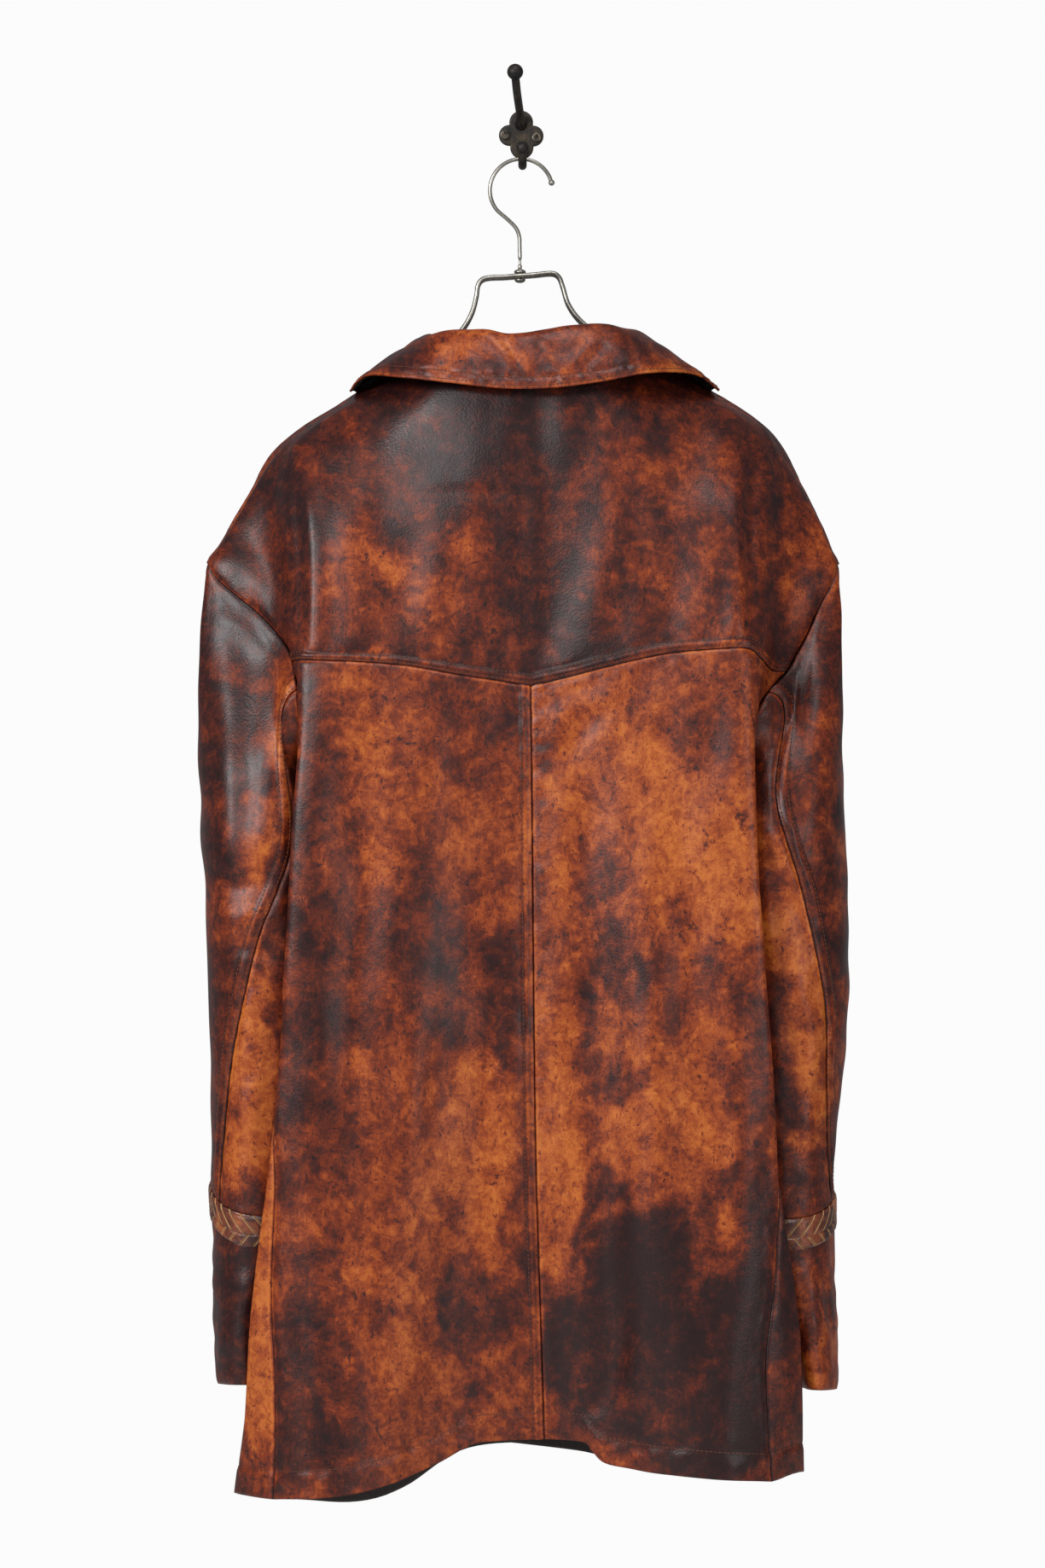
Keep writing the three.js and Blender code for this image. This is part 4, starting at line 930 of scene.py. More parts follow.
for side, blots, base in (("left", LEFT_STAINS_AND_SHADE, 0.56), ("right", RIGHT_STAINS_AND_SHADE, 0.60)):
    e = edges[side]
    outer = joined(e["armBack"], e["side_back"])
    if side == "left":
        grid = patch(yoke_seam_left, e["hemBack"], outer, centre)
        sewn = {"top": 0, "first": 0, "last": 8}
    else:
        grid = patch(yoke_seam_right, e["hemBack"][::-1], centre, outer)
        sewn = {"top": 0, "first": 0, "last": 0}
    grid = cut_finer(grid)
    P = body(grid)
    N = body_normal(grid)
    gaps = from_edges(P)
    seed = 40 if side == "left" else 60
    lift = (strokes(P, BACK_FOLDS) + 0.45 * waves(P[..., 0], P[..., 2] * 0.4, 40, seed)) * facing(N, -1)
    lift = faded(lift, gaps, top=30, first=8, last=8) + seam_relief(P, gaps, sewn, seed + 1)
    lift += hem_relief(gaps)
    lift += 0.30 * waves(P[..., 0], P[..., 2], 16, seed + 2) * bell(gaps["bottom"] - 20, 14)
    tone = stains_and_shade(P, base, blots, seed + 3) + seam_rub_and_shade(gaps, sewn)
    back = hide_piece("back_hide_" + side, "back_" + side, P, N, lift, tone)
    surface = raised(P, N, lift)
    rows = [level_line(surface, N, gaps, "bottom", HEM)]
    if side == "left":
        rows.append(level_line(surface, N, gaps, "last", 8))
    hem_thread = stitched("back_thread_" + side, rows)


# The fronts: they turn round the sides to meet the back panels and close down the middle with
# four plain buttons. They face the wall; the left one lies over the right.
UNDERLAP = 2.6  # how far the right front's edge lies under the left one
FRONT_FOLDS = [
    (22, 2.0, [(330, 700), (400, 1000), (420, 1500)]),
    (20, -1.8, [(400, 720), (450, 1050), (470, 1500)]),
    (22, 1.8, [(500, 600), (530, 1000), (540, 1600)]),
    (20, 2.0, [(890, 700), (820, 1000), (800, 1500)]),
    (20, -1.8, [(820, 720), (770, 1050), (750, 1500)]),
    (22, 1.8, [(720, 600), (700, 1000), (690, 1600)]),
    (10, 1.2, [(300, 620), (360, 700), (380, 800)]),
    (10, -1.0, [(940, 620), (880, 700), (860, 800)]),
]
SIDE_FOLDS = [
    (9, 1.3, [(300, 1440), (296, 1600), (292, 1720)]),
    (7, -1.0, [(314, 1460), (310, 1600), (312, 1730)]),
    (9, 1.2, [(922, 1500), (924, 1600), (926, 1700)]),
]
# Ellipses of the dye's stains; on the left, (310, 1550), a narrow dark streak down the side fold's trough, is
# painted shade.
FRONT_STAINS_AND_SHADE = {
    "left": [
        (305, 1480, 40, 190, 0.4), (300, 1650, 40, 90, 0.28), (310, 1550, 14, 60, -0.12),
        (420, 700, 90, 120, -0.12), (500, 1000, 80, 200, 0.14), (430, 1300, 80, 120, -0.1),
        (560, 1500, 60, 160, 0.12),
    ],
    "right": [
        (920, 1560, 40, 160, -0.22), (915, 1700, 40, 40, -0.05), (820, 800, 90, 140, -0.14),
        (740, 1100, 80, 180, 0.12), (800, 1450, 90, 120, -0.12), (930, 1640, 20, 50, 0.14),
    ],
}
for side in ("left", "right"):
    e = edges[side]
    start = e["neckFront"][-1][0]
    outer = joined(e["shoulder"], e["armFront"][::-1], e["side_front"])
    edge = upright(start, [252, 368, 524, 1012], [8 * WIDE, 12 * WIDE, 15 * WIDE])
    if side == "left":
        grid = patch(e["neckFront"][::-1], e["hemFront"][::-1], edge, outer)
        sewn = {"last": 0}
        free = "first"
    else:
        grid = patch(e["neckFront"], e["hemFront"], outer, edge)
        sewn = {"first": 0}
        free = "last"
    grid = cut_finer(grid)
    P = body(grid)
    N = body_normal(grid)
    if side == "right":
        P = raised(P, N, -UNDERLAP * step(7.15, 7.65, grid[..., 0]))
    gaps = from_edges(P)
    seed = 80 if side == "left" else 100
    lift = strokes(P, FRONT_FOLDS) * facing(N, 1) + strokes(P, SIDE_FOLDS) * facing(N, -1) * 0.8
    lift += 0.4 * waves(P[..., 0] + P[..., 1], P[..., 2] * 0.4, 40, seed)
    lift = faded(lift, gaps, top=16, first=10, last=10) + seam_relief(P, gaps, sewn, seed + 1)
    lift += hem_relief(gaps)
    base = 0.48 if side == "left" else 0.38
    tone = stains_and_shade(P, base, FRONT_STAINS_AND_SHADE[side], seed + 3) + seam_rub_and_shade(gaps, sewn)
    front = hide_piece("front_hide_" + side, "front_" + side, P, N, lift, tone)
    surface = raised(P, N, lift)
    rows = [level_line(surface, N, gaps, "bottom", HEM), level_line(surface, N, gaps, free, 6)]
    front_thread = stitched("front_thread_" + side, rows)


# The sleeves: a top and an under piece joined at an elbow seam with two rows of thread. They leave
# the dropped armholes level, turn down and hang as flattened tubes.
SLEEVES = {
    "left": {
        "rings": [
            (560, 196, 47, 49), (591, 195, 46, 49), (640, 195, 44.5, 48), (700, 196, 41.5, 47),
            (760, 198, 38, 46), (818, 202, 34.5, 45), (850, 204, 31, 45), (893, 207, 28, 45),
            (930, 210, 24, 46), (975, 214, 18.5, 46),
        ],
        "elbow": [
            (0, 0.3333), (0.2, 0.33), (0.32, 0.315), (0.45, 0.25), (0.6, 0.195), (0.75, 0.145),
            (0.88, 0.12), (1, 0.1),
        ],
        "plait": (818, 20, 3),
        "leave": 0.12,
        "end": 968,
    },
    "right": {
        "rings": [
            (560, 200, 47.5, 49), (591, 202, 47, 49), (640, 204, 45.5, 48), (690, 205, 44, 47),
            (748, 204, 39.5, 46), (792, 203, 36, 45), (830, 205, 33.5, 45), (879, 210, 29, 45),
            (930, 220, 21, 46), (975, 228, 14, 46),
        ],
        "elbow": [
            (0, 0.3333), (0.2, 0.29), (0.32, 0.24), (0.45, 0.2), (0.6, 0.155), (0.75, 0.13), (0.88, 0.095),
            (1, 0.05),
        ],
        "plait": (825, 17, 1.5),
        "leave": 0.08,
        "end": 972,
    },
}
SLEEVE_Y = -60
ARM_LEVEL = 560
HEAD = 0.32
PLAIT_HEIGHT = 23


def plait_top(side, a):
    """The level of the plait's upper edge: a base, a slope to the back and a dip inside."""
    base, slope, dip = SLEEVES[side]["plait"]
    return base + slope * np.sin(2 * np.pi * a) + dip * (1 - np.cos(2 * np.pi * a))


def sleeve_end(side, a):
    return SLEEVES[side]["end"] + 2 * np.sin(2 * np.pi * a)


def sleeve_ring(side, a, down):
    """A slightly boxed ellipse: cos and sin raised to 0.9; a is 0 outside, 0.25 to the room."""
    size = along(SLEEVES[side]["rings"], down)
    c, s = np.cos(2 * np.pi * a), np.sin(2 * np.pi * a)
    c, s = np.sign(c) * np.abs(c) ** 0.9, np.sign(s) * np.abs(s) ** 0.9
    sign = SEAMS[side]["sign"]
    x = sign * (size[..., 0] + size[..., 1] * c)
    return deepened(np.stack([x, SLEEVE_Y - size[..., 2] * s, -down + 0 * x], axis=-1))


def arm_loop(side):
    """The armhole's 24 points, back half and then front half."""
    seam, sign = SEAMS[side], SEAMS[side]["sign"]
    steps = {"armYoke": 7, "armBack": 5, "armFront": 12}
    return body(np.concatenate([spaced(seam[name], count, sign)[:-1] for name, count in steps.items()]))


def sleeve_point(side, arm, a, v):
    """From the armhole (v = 0) by a cubic Bezier to the first level ring, then down the rings."""
    sign = SEAMS[side]["sign"]
    a, v = np.broadcast_arrays(a, v)
    place = a % 1
    k = place * 24
    i = np.floor(k).astype(int) % 24
    f = (k - np.floor(k))[..., None]
    p = [arm[(i + d) % 24] for d in (-1, 0, 1, 2)]
    start = 0.5 * (
        2 * p[1] + (p[2] - p[0]) * f + (2 * p[0] - 5 * p[1] + 4 * p[2] - p[3]) * f**2
        + (3 * p[1] - p[0] - 3 * p[2] + p[3]) * f**3
    )
    level = np.full(a.shape, float(ARM_LEVEL))
    stop = sleeve_ring(side, a, level)
    reach = np.linalg.norm(start - stop, axis=-1, keepdims=True)
    below = unit(sleeve_ring(side, a, level + 10) - stop)
    clear = step(0.26, 0.38, place) * (1 - step(0.48, 0.56, place))
    inside = step(0.14, 0.26, place) * (1 - step(0.6, 0.8, place))
    near = SLEEVES[side]["leave"] + (0.4 - SLEEVES[side]["leave"]) * inside
    outward = near + (1.12 - near) * clear
    leave = np.stack([sign * outward, 0.25 * clear, 0.62 * clear - 0.9], axis=-1)
    c1 = start + leave * reach * 0.25
    c2 = stop - below * reach * 0.4
    t = np.clip(v / HEAD, 0, 1)[..., None]
    w = 1 - t
    upper = w**3 * start + 3 * w * w * t * c1 + 3 * w * t * t * c2 + t**3 * stop
    down = ARM_LEVEL + (plait_top(side, a) - ARM_LEVEL) * np.clip((v - HEAD) / (1 - HEAD), 0, 1)
    return np.where((v >= HEAD)[..., None], sleeve_ring(side, a, down), upper)


def sleeve_normal(side, arm, a, v):
    across = sleeve_point(side, arm, a + 0.004, v) - sleeve_point(side, arm, a - 0.004, v)
    lower, upper = np.minimum(1, v + 0.01), np.maximum(0, v - 0.01)
    fall = sleeve_point(side, arm, a, lower) - sleeve_point(side, arm, a, upper)
    return unit(np.cross(fall, across)) * -SEAMS[side]["sign"]


SLEEVE_FOLDS = {
    "left": [
        (12, 2.0, [(262, 700), (268, 900), (272, 1150)]),
        (10, -1.6, [(290, 760), (288, 900), (284, 1080)]),
        (9, 1.4, [(316, 840), (306, 960), (296, 1060)]),
        (7, -1.6, [(236, 1010), (275, 1040), (320, 1030)]),
        (7, 1.4, [(238, 1050), (275, 1078), (318, 1060)]),
        (8, -1.4, [(242, 1130), (280, 1110), (330, 1120)]),
        (10, 1.8, [(285, 1150), (292, 1260), (288, 1380)]),
        (8, -1.4, [(312, 1140), (318, 1260), (310, 1370)]),
        (7, 1.2, [(252, 1200), (262, 1300), (258, 1380)]),
        (6, -1.2, [(270, 1290), (300, 1250), (330, 1245)]),
        (6, 1.0, [(250, 720), (280, 735), (310, 770)]),
    ],
    "right": [
        (12, 2.0, [(962, 700), (958, 860), (950, 1000)]),
        (10, -1.6, [(938, 780), (942, 900), (936, 1010)]),
        (9, 1.4, [(900, 860), (915, 960), (925, 1050)]),
        (8, -1.8, [(890, 1000), (930, 1060), (975, 1150)]),
        (8, 1.8, [(893, 960), (935, 1020), (985, 1100)]),
        (8, 1.6, [(890, 1060), (925, 1130), (960, 1230)]),
        (8, -1.4, [(895, 1120), (925, 1200), (945, 1300)]),
        (9, 1.6, [(945, 1160), (952, 1280), (950, 1390)]),
        (7, -1.3, [(905, 1250), (935, 1290), (975, 1280)]),
        (7, 1.1, [(915, 1330), (930, 1370), (960, 1390)]),
        (6, 1.0, [(930, 760), (960, 730), (985, 715)]),
    ],
}
HIDDEN_FOLDS = [
    (9, 1.5, [(300, 740), (290, 950), (300, 1150)]),
    (9, -1.3, [(260, 760), (262, 950), (270, 1150)]),
    (8, 1.5, [(240, 1030), (285, 1060), (335, 1045)]),
    (8, -1.4, [(240, 1080), (285, 1105), (335, 1090)]),
    (9, 1.3, [(300, 1180), (296, 1300), (292, 1390)]),
    (9, 1.5, [(920, 740), (930, 950), (930, 1150)]),
    (9, -1.3, [(965, 760), (962, 950), (955, 1150)]),
    (8, 1.5, [(895, 1030), (940, 1060), (990, 1045)]),
    (8, -1.4, [(895, 1080), (940, 1105), (990, 1090)]),
    (9, 1.3, [(940, 1180), (946, 1300), (950, 1390)]),
]
SLEEVE_BASE = {"top_left": 0.34, "under_left": 0.42, "top_right": 0.36, "under_right": 0.44}
# Ellipses of the dye's stains; on the cuffs, (296, 1560), (968, 1510) and (938, 1510), narrow dark streaks
# down fold troughs, are painted shade.
SLEEVE_STAINS_AND_SHADE = {
    "top_left": [
        (262, 700, 50, 60, -0.06), (262, 850, 34, 130, -0.14), (290, 800, 18, 30, 0.18),
        (322, 880, 20, 90, 0.42), (300, 1000, 26, 60, 0.36), (262, 1060, 30, 50, 0.26),
        (245, 1190, 20, 70, -0.14), (258, 1330, 14, 50, 0.05), (300, 730, 40, 40, -0.08),
        (335, 820, 14, 40, 0.16),
    ],
    "under_left": [
        (330, 1020, 26, 70, -0.16), (292, 1220, 36, 120, 0.42), (285, 1350, 30, 50, 0.28),
        (340, 900, 16, 60, 0.0), (328, 1180, 10, 90, -0.2), (300, 1110, 20, 30, 0.1),
    ],
    "top_right": [
        (955, 760, 34, 70, -0.08), (968, 700, 20, 34, 0.22), (950, 870, 30, 60, 0.06),
        (985, 1010, 16, 60, 0.36), (970, 960, 20, 40, -0.04), (988, 1120, 8, 70, -0.24),
        (980, 1240, 14, 60, 0.3), (940, 920, 18, 40, 0.16),
    ],
    "under_right": [
        (905, 860, 22, 60, -0.1), (905, 890, 14, 30, 0.16), (910, 960, 20, 40, -0.14),
        (930, 1080, 36, 100, 0.5), (952, 1230, 26, 90, 0.42), (912, 1240, 20, 70, -0.26),
        (935, 1370, 30, 40, -0.16), (900, 1130, 12, 60, -0.2), (962, 1340, 12, 60, 0.2),
    ],
    "left": [
        (275, 1500, 40, 60, -0.1), (262, 1590, 30, 40, 0.04), (296, 1560, 12, 60, -0.1),
        (300, 1480, 12, 20, 0.22),
    ],
    "right": [
        (960, 1560, 24, 60, 0.22), (968, 1510, 12, 50, -0.26), (950, 1610, 20, 24, 0.1),
        (938, 1510, 10, 60, -0.2), (975, 1480, 8, 24, 0.2),
    ],
}


def turned(length, low, high):
    """Columns from one angle to another, the angles given for each row."""
    u = dense(length) / length
    return low[:, None] + (high - low)[:, None] * u


for side in ("left", "right"):
    arm = arm_loop(side)
    v = np.linspace(0, 1, 12 * 12 + 1)
    elbow = along(SLEEVES[side]["elbow"], v)[:, 0]
    inner = 16 / 24 + 0.02 * v
    for part, low, high, columns in (("top", inner - 1, elbow, 96), ("under", elbow, inner, 54)):
        a = turned(columns, low, high)
        rows = np.broadcast_to(v[:, None], a.shape)
        P = sleeve_point(side, arm, a, rows)
        N = sleeve_normal(side, arm, a, rows)
        gaps = from_edges(P)
        seed = 120 + 10 * len(part) + (5 if side == "right" else 0)
        lift = strokes(P, SLEEVE_FOLDS[side]) * facing(N, -1) + strokes(P, HIDDEN_FOLDS) * facing(N, 1)
        lift += 0.35 * waves(P[..., 0] + P[..., 1], P[..., 2] * 0.6, 30, seed)
        lift = faded(lift, gaps, top=14, bottom=10, first=7, last=7)
        sewn = {"top": 0, "first": 0, "last": 10 if part == "top" else 0}
        lift += seam_relief(P, gaps, sewn, seed + 1) * step(0, 6, gaps["bottom"])
        which = part + "_" + side
        tone = stains_and_shade(P, SLEEVE_BASE[which], SLEEVE_STAINS_AND_SHADE[which], seed + 2) + seam_rub_and_shade(gaps, sewn)
        sleeve = hide_piece("sleeve_hide_" + which, "sleeve_" + which, P, N, lift, tone)
        if part == "top":
            surface = raised(P, N, lift)
            rows = [level_line(surface, N, gaps, "last", width) for width in (2.0, 9.5)]
            sleeve_thread = stitched("sleeve_thread_" + side, rows)


def tube_normal(side, a, down):
    """The way out of the level rings of a sleeve."""
    fall = sleeve_ring(side, a, down + 1) - sleeve_ring(side, a, down - 1)
    across = sleeve_ring(side, a + 0.004, down) - sleeve_ring(side, a - 0.004, down)
    return unit(np.cross(fall, across)) * -SEAMS[side]["sign"]


# The cuffs: a plain tube of the same hide below each plait, its end turned in and left soft.
CUFF_FOLDS = [
    (7, 1.6, [(292, 1480), (284, 1540), (290, 1600)]),
    (6, -1.6, [(300, 1500), (294, 1550), (299, 1610)]),
    (7, 1.2, [(262, 1490), (266, 1550), (262, 1600)]),
    (7, 1.4, [(950, 1490), (956, 1550), (952, 1610)]),
    (6, -1.3, [(968, 1490), (972, 1550), (966, 1600)]),
    (6, -1.1, [(938, 1500), (942, 1550), (940, 1590)]),
]
CUFF_GRID = (49, 120)
for side in ("left", "right"):
    a = np.broadcast_to(np.arange(CUFF_GRID[1]) / CUFF_GRID[1], CUFF_GRID)
    t = np.linspace(0, 1, CUFF_GRID[0])[:, None]
    top = plait_top(side, a) + PLAIT_HEIGHT - 1.0
    down = top + (sleeve_end(side, a) - top) * t
    P = sleeve_ring(side, a, down)
    N = tube_normal(side, a, down)
    gaps = from_edges(P)
    seed = 170 if side == "left" else 180
    lift = strokes(P, CUFF_FOLDS) * facing(N, -1) * step(0, 14, gaps["top"])
    lift += 0.3 * waves(P[..., 0] + P[..., 1], P[..., 2], 26, seed)
    lift -= 1.0 * bell(gaps["bottom"], 2.4)
    tone = stains_and_shade(P, 0.26 if side == "left" else 0.52, SLEEVE_STAINS_AND_SHADE[side], seed + 1)
    cuff = hide_piece("cuff_hide_" + side, "cuff_" + side, P, N, lift, tone, wall=2.0, wrap=True)


# The plaits: straps of hide about 7 mm wide, cut raw so that their edges stay light tan, laid over
# and under each other on the slant round the foot of each sleeve.
plait_paint = Paint("plaited_hide")
plait_tone = plait_paint.noise(60, 6, 0.65, 0.4)
cut = plait_paint.attribute("cut")
plait_faces = plait_paint.ramp(plait_tone, [
    (0.30, (0.018, 0.008, 0.007)), (0.46, (0.07, 0.016, 0.010)), (0.58, (0.22, 0.05, 0.015)),
    (0.72, (0.5, 0.15, 0.035)),
])
pale = plait_paint.noise(180, 4, 0.6)
plait_edge = plait_paint.ramp(pale, [(0.3, (0.42, 0.20, 0.075)), (0.7, (0.68, 0.39, 0.17))])
plait_colour = plait_paint.node(
    "ShaderNodeMix", {"data_type": "RGBA"}, {0: cut.clear(0.35, 0.65), 6: plait_faces, 7: plait_edge}, out=2
)
plaited = plait_paint.finish(
    Base_Color=plait_colour,
    Roughness=0.36 + cut * 0.4,
    Normal=plait_paint.bump(plait_paint.noise(500, 4, 0.6), 0.35, 0.0006),
    Coat_Weight=0.15,
)
# A strap's cut: ten points round a flat rectangle, (across, up, how raw).
STRAP_CUT = np.array([
    (-1, 0.1, 1), (-1, 0.9, 1), (-0.88, 1, 0), (-0.3, 1.12, 0), (0.3, 1.12, 0), (0.74, 1.04, 0),
    (1, 0.9, 1), (1, 0.1, 1), (0.8, 0, 0.6), (-0.8, 0, 0.6),
])
STRAP_THICK = 1.15
STRAP_PACE = 10.2  # round the band from one strap to the next, before it is made to fit
STRAP_CAP = np.array([(0, 9, 2, 1), (9, 8, 3, 2), (8, 5, 4, 3), (8, 7, 6, 5)])
BAND_GRID = (7, 96)  # the thin tube behind the straps
# The long straps run down from the top edge, and the short ones up from the lower edge between
# them: (where it starts round the band, its run round the band, start and end of its height, where
# it dips under the next strap, which way its pale edge looks).
STRAPS = [(0.0, 17.0, -0.01, 0.80, 0.66, 1), (10.7, 10.0, 1.01, 0.40, 0.50, -1)]


def outward(points, faces):
    """The faces, turned over if the closed shape's volume, a sum of tetrahedra, is negative."""
    a, b, c, d = (points[faces[:, k]] for k in range(4))
    volume = np.sum(a * np.cross(b, c)) + np.sum(a * np.cross(c, d))
    return faces if volume > 0 else faces[:, ::-1]


for side in ("left", "right"):
    ring_a = np.linspace(0, 1, 721)
    base_line = sleeve_ring(side, ring_a, plait_top(side, ring_a) + PLAIT_HEIGHT / 2)
    girth = run_of(base_line)
    count = int(round(girth[-1] / STRAP_PACE))
    pace = girth[-1] / count
    s = np.linspace(0, 1, 24)
    points, faces, raws = [], [], []
    for begin, lean, high, low, dip, pale in STRAPS:
        run = pace * np.arange(count)[:, None] + (begin + lean * s)[None]
        # It comes round the band's edge, lies on top, and sinks under the strap that crosses it.
        level = -0.5 + 1.3 * step(0, 0.16, s) * (1 - step(dip, dip + 0.22, s))
        around = run[..., None] + pale * STRAP_CUT[:, 0] * pace * 0.45
        a = np.interp(around % girth[-1], girth, ring_a)
        down = plait_top(side, a) + PLAIT_HEIGHT * (high + (low - high) * s)[None, :, None]
        stand = level[None, :, None] + STRAP_THICK * STRAP_CUT[:, 1]
        strap = sleeve_ring(side, a, down) + tube_normal(side, a, down) * stand[..., None]
        rows, sections = strap.shape[1:3]
        index = np.arange(rows * sections).reshape(rows, sections)
        each = np.concatenate([between_rings(index), index[0][STRAP_CAP], index[-1][STRAP_CAP][:, ::-1]])
        start = sum(len(p) for p in points)
        shape = strap.reshape(-1, 3)
        every = (each[None] + (np.arange(count) * rows * sections)[:, None, None]).reshape(-1, 4)
        faces.append(outward(shape - shape.mean(axis=0), every) + start)
        points.append(shape)
        raws.append(np.broadcast_to(STRAP_CUT[:, 2], a.shape).reshape(-1))
    # A thin tube of dark hide behind the straps.
    rows, columns = BAND_GRID
    a = np.broadcast_to(np.arange(columns) / columns, BAND_GRID)
    down = plait_top(side, a) + 0.5 + (PLAIT_HEIGHT - 1) * np.linspace(0, 1, rows)[:, None]
    outer = sleeve_ring(side, a, down)
    under = outer - tube_normal(side, a, down) * 1.3
    deep = rows * columns
    index = np.arange(deep).reshape(BAND_GRID)
    tube = between_rings(index)
    lower = between_rings(np.stack([index[-1], index[-1] + deep]))
    upper = between_rings(np.stack([index[0] + deep, index[0]]))
    shape = np.concatenate([outer.reshape(-1, 3), under.reshape(-1, 3)])
    every = np.concatenate([tube, tube[:, ::-1] + deep, lower, upper])
    faces.append(outward(shape - shape.mean(axis=0), every) + sum(len(p) for p in points))
    points.append(shape)
    raws.append(np.zeros(2 * deep))
    data = mesh_of("plait_" + side, np.concatenate(points), np.concatenate(faces), plaited, smooth=False)
    data.validate()
    attach(data, "cut", np.concatenate(raws))
    placed("plait_" + side, data, ["braid_" + side])


# The collar: a stand sewn to the neck and a broad fall that turns over it, its edge sewn twice.
# Lines run from the left front round the back to the right front, (x, y, down).
FOLD = [
    (-8, -9, 232), (-29, -9, 215), (-50, -10, 191), (-68, -16, 170), (-73, -43, 171), (-72, -63, 172),
    (-57, -84, 166), (-34, -95, 164.5), (-9, -99, 168), (16, -99, 165.5), (42, -96, 161.5),
    (66, -89, 161.5), (84, -68, 165.5), (84, -43, 166.5), (84, -15, 167), (57, -10, 189), (33, -9, 214),
    (8, -9, 232),
]
FREE_EDGE = [
    (-48, -4.5, 282), (-82, -5, 260), (-110, -7, 232), (-127, -16, 212), (-131, -43, 211),
    (-119, -72, 199.5), (-92, -101, 201), (-50, -111, 206), (-12, -113, 210), (25, -113, 209.3),
    (62, -111, 204.5), (100, -103, 197.5), (134, -74, 198.5), (151, -43, 210.5), (147, -16, 210),
    (128, -7, 232), (88, -5, 260), (50, -4.5, 282),
]


def collar_front(side):
    seam = [*SEAMS[side]["neckFront"][:-1], (7.95, 243)]
    return spaced(seam, 8, SEAMS[side]["sign"])


neck_run = body(joined(collar_front("left")[::-1], spaced(NECK_BACK, 24, 1), collar_front("right")))
DROP = [1, 1, -1]


def fold_legs(u):
    """The fold, the free edge and the neck seam at u, and the ways between them."""
    fold = deepened(through(FOLD, u) * DROP)
    free = deepened(through(FREE_EDGE, u) * DROP)
    foot = through(neck_run, u)
    ahead = deepened(through(FOLD, np.minimum(1, u + 0.01)) * DROP)
    behind = deepened(through(FOLD, np.maximum(0, u - 0.01)) * DROP)
    run = unit(ahead - behind)
    inside, outside = unit(foot - fold), unit(free - fold)
    apart = outside - inside
    apart = unit(apart - run * np.sum(apart * run, axis=-1, keepdims=True))
    return fold, free, foot, inside, outside, apart


def fall_point(u, w):
    """Across the fall: under the fold, over it, and down to the free edge."""
    fold, free, foot, inside, outside, apart = fold_legs(u)
    drop = np.minimum(8, 0.45 * np.linalg.norm(fold - foot, axis=-1, keepdims=True))
    knots = [
        fold + inside * drop - apart * 3,
        fold - apart * 1.2,
        fold + outside * 3.5 + apart * 2.2,
        (fold + free) / 2 + apart * 2.5,
        free,
    ]
    at = [0, 0.16, 0.28, 0.62, 1]
    weights = [along([(p, float(n == k)) for n, p in enumerate(at)], w) for k in range(len(knots))]
    return sum(weight * knot for weight, knot in zip(weights, knots))


def stand_point(u, w):
    """From the neck seam up to the fall's hidden edge."""
    fold, free, foot, inside, outside, apart = fold_legs(u)
    foot = foot - inside * 1.2 - apart * 1.2
    return foot + (fall_point(u, 0 * w) - foot) * w[..., None]


COLLAR_FOLDS = [
    (5, 1.4, [(575, 398), (592, 418), (604, 436)]),
    (4, -1.2, [(590, 394), (604, 412), (612, 432)]),
    (5, 1.4, [(662, 436), (680, 416), (700, 396)]),
    (4, -1.2, [(676, 440), (694, 420), (712, 400)]),
    (6, 1.0, [(520, 396), (508, 415), (500, 435)]),
    (6, -0.9, [(540, 392), (536, 412), (528, 438)]),
    (6, 1.0, [(745, 396), (752, 412), (764, 428)]),
    (5, -0.9, [(624, 392), (634, 412), (640, 436)]),
    (6, 0.9, [(450, 440), (470, 425), (500, 412)]),
]
COLLAR_STAINS = [
    (575, 402, 55, 24, 0.3), (625, 428, 90, 12, 0.22), (700, 398, 50, 18, 0.16), (650, 400, 40, 20, -0.04),
    (478, 412, 60, 20, -0.14), (735, 405, 34, 24, -0.14), (808, 432, 30, 12, 0.36),
    (770, 425, 20, 12, 0.16), (440, 438, 30, 8, 0.06), (520, 405, 20, 20, 0.14), (590, 436, 30, 8, -0.08),
    (745, 385, 30, 10, -0.12),
]
COLLAR_COLUMNS = 289
for name, form, rows in (("fall", fall_point, 64), ("stand", stand_point, 16)):
    shape = (rows + 1, COLLAR_COLUMNS)
    u = np.broadcast_to(np.linspace(0.0005, 0.9995, COLLAR_COLUMNS), shape)
    w = np.broadcast_to(np.linspace(0, 1, rows + 1)[:, None], shape)
    P = form(u, w)
    N = unit(np.cross(
        form(u, np.minimum(1, w + 0.02)) - form(u, np.maximum(0, w - 0.02)),
        form(np.minimum(1, u + 0.004), w) - form(np.maximum(0, u - 0.004), w),
    ))
    gaps = from_edges(P)
    lift = 0.3 * waves(P[..., 0], P[..., 1] + P[..., 2], 28, 200) * step(0, 8, gaps["bottom"])
    if name == "fall":
        lift += strokes(P, COLLAR_FOLDS) * facing(N, -1) * step(0, 6, gaps["bottom"])
        lift -= 0.7 * bell(gaps["bottom"], 1.8)
        lift -= 0.45 * bell(gaps["bottom"] - 9, 2.0) + 0.3 * bell(gaps["bottom"] - 2.6, 1.4)
        lift += 0.3 * waves(P[..., 0] + P[..., 1], P[..., 2], 11, 201) * bell(gaps["bottom"] - 7, 6)
        tone = stains_and_shade(P, 0.44, COLLAR_STAINS, 203) + 0.22 * bell(gaps["bottom"] - 1.0, 3.0)
    else:
        tone = stains_and_shade(P, 0.3, [], 205)
    collar = hide_piece("collar_" + name + "_hide", "collar_" + name, P, N, lift, tone)
    if name == "fall":
        surface = raised(P, N, lift)
        rows = [level_line(surface, N, gaps, "bottom", width) for width in (2.6, 9)]
        collar_thread = stitched("collar_thread", rows, 3.2, 2.6, 0.38)


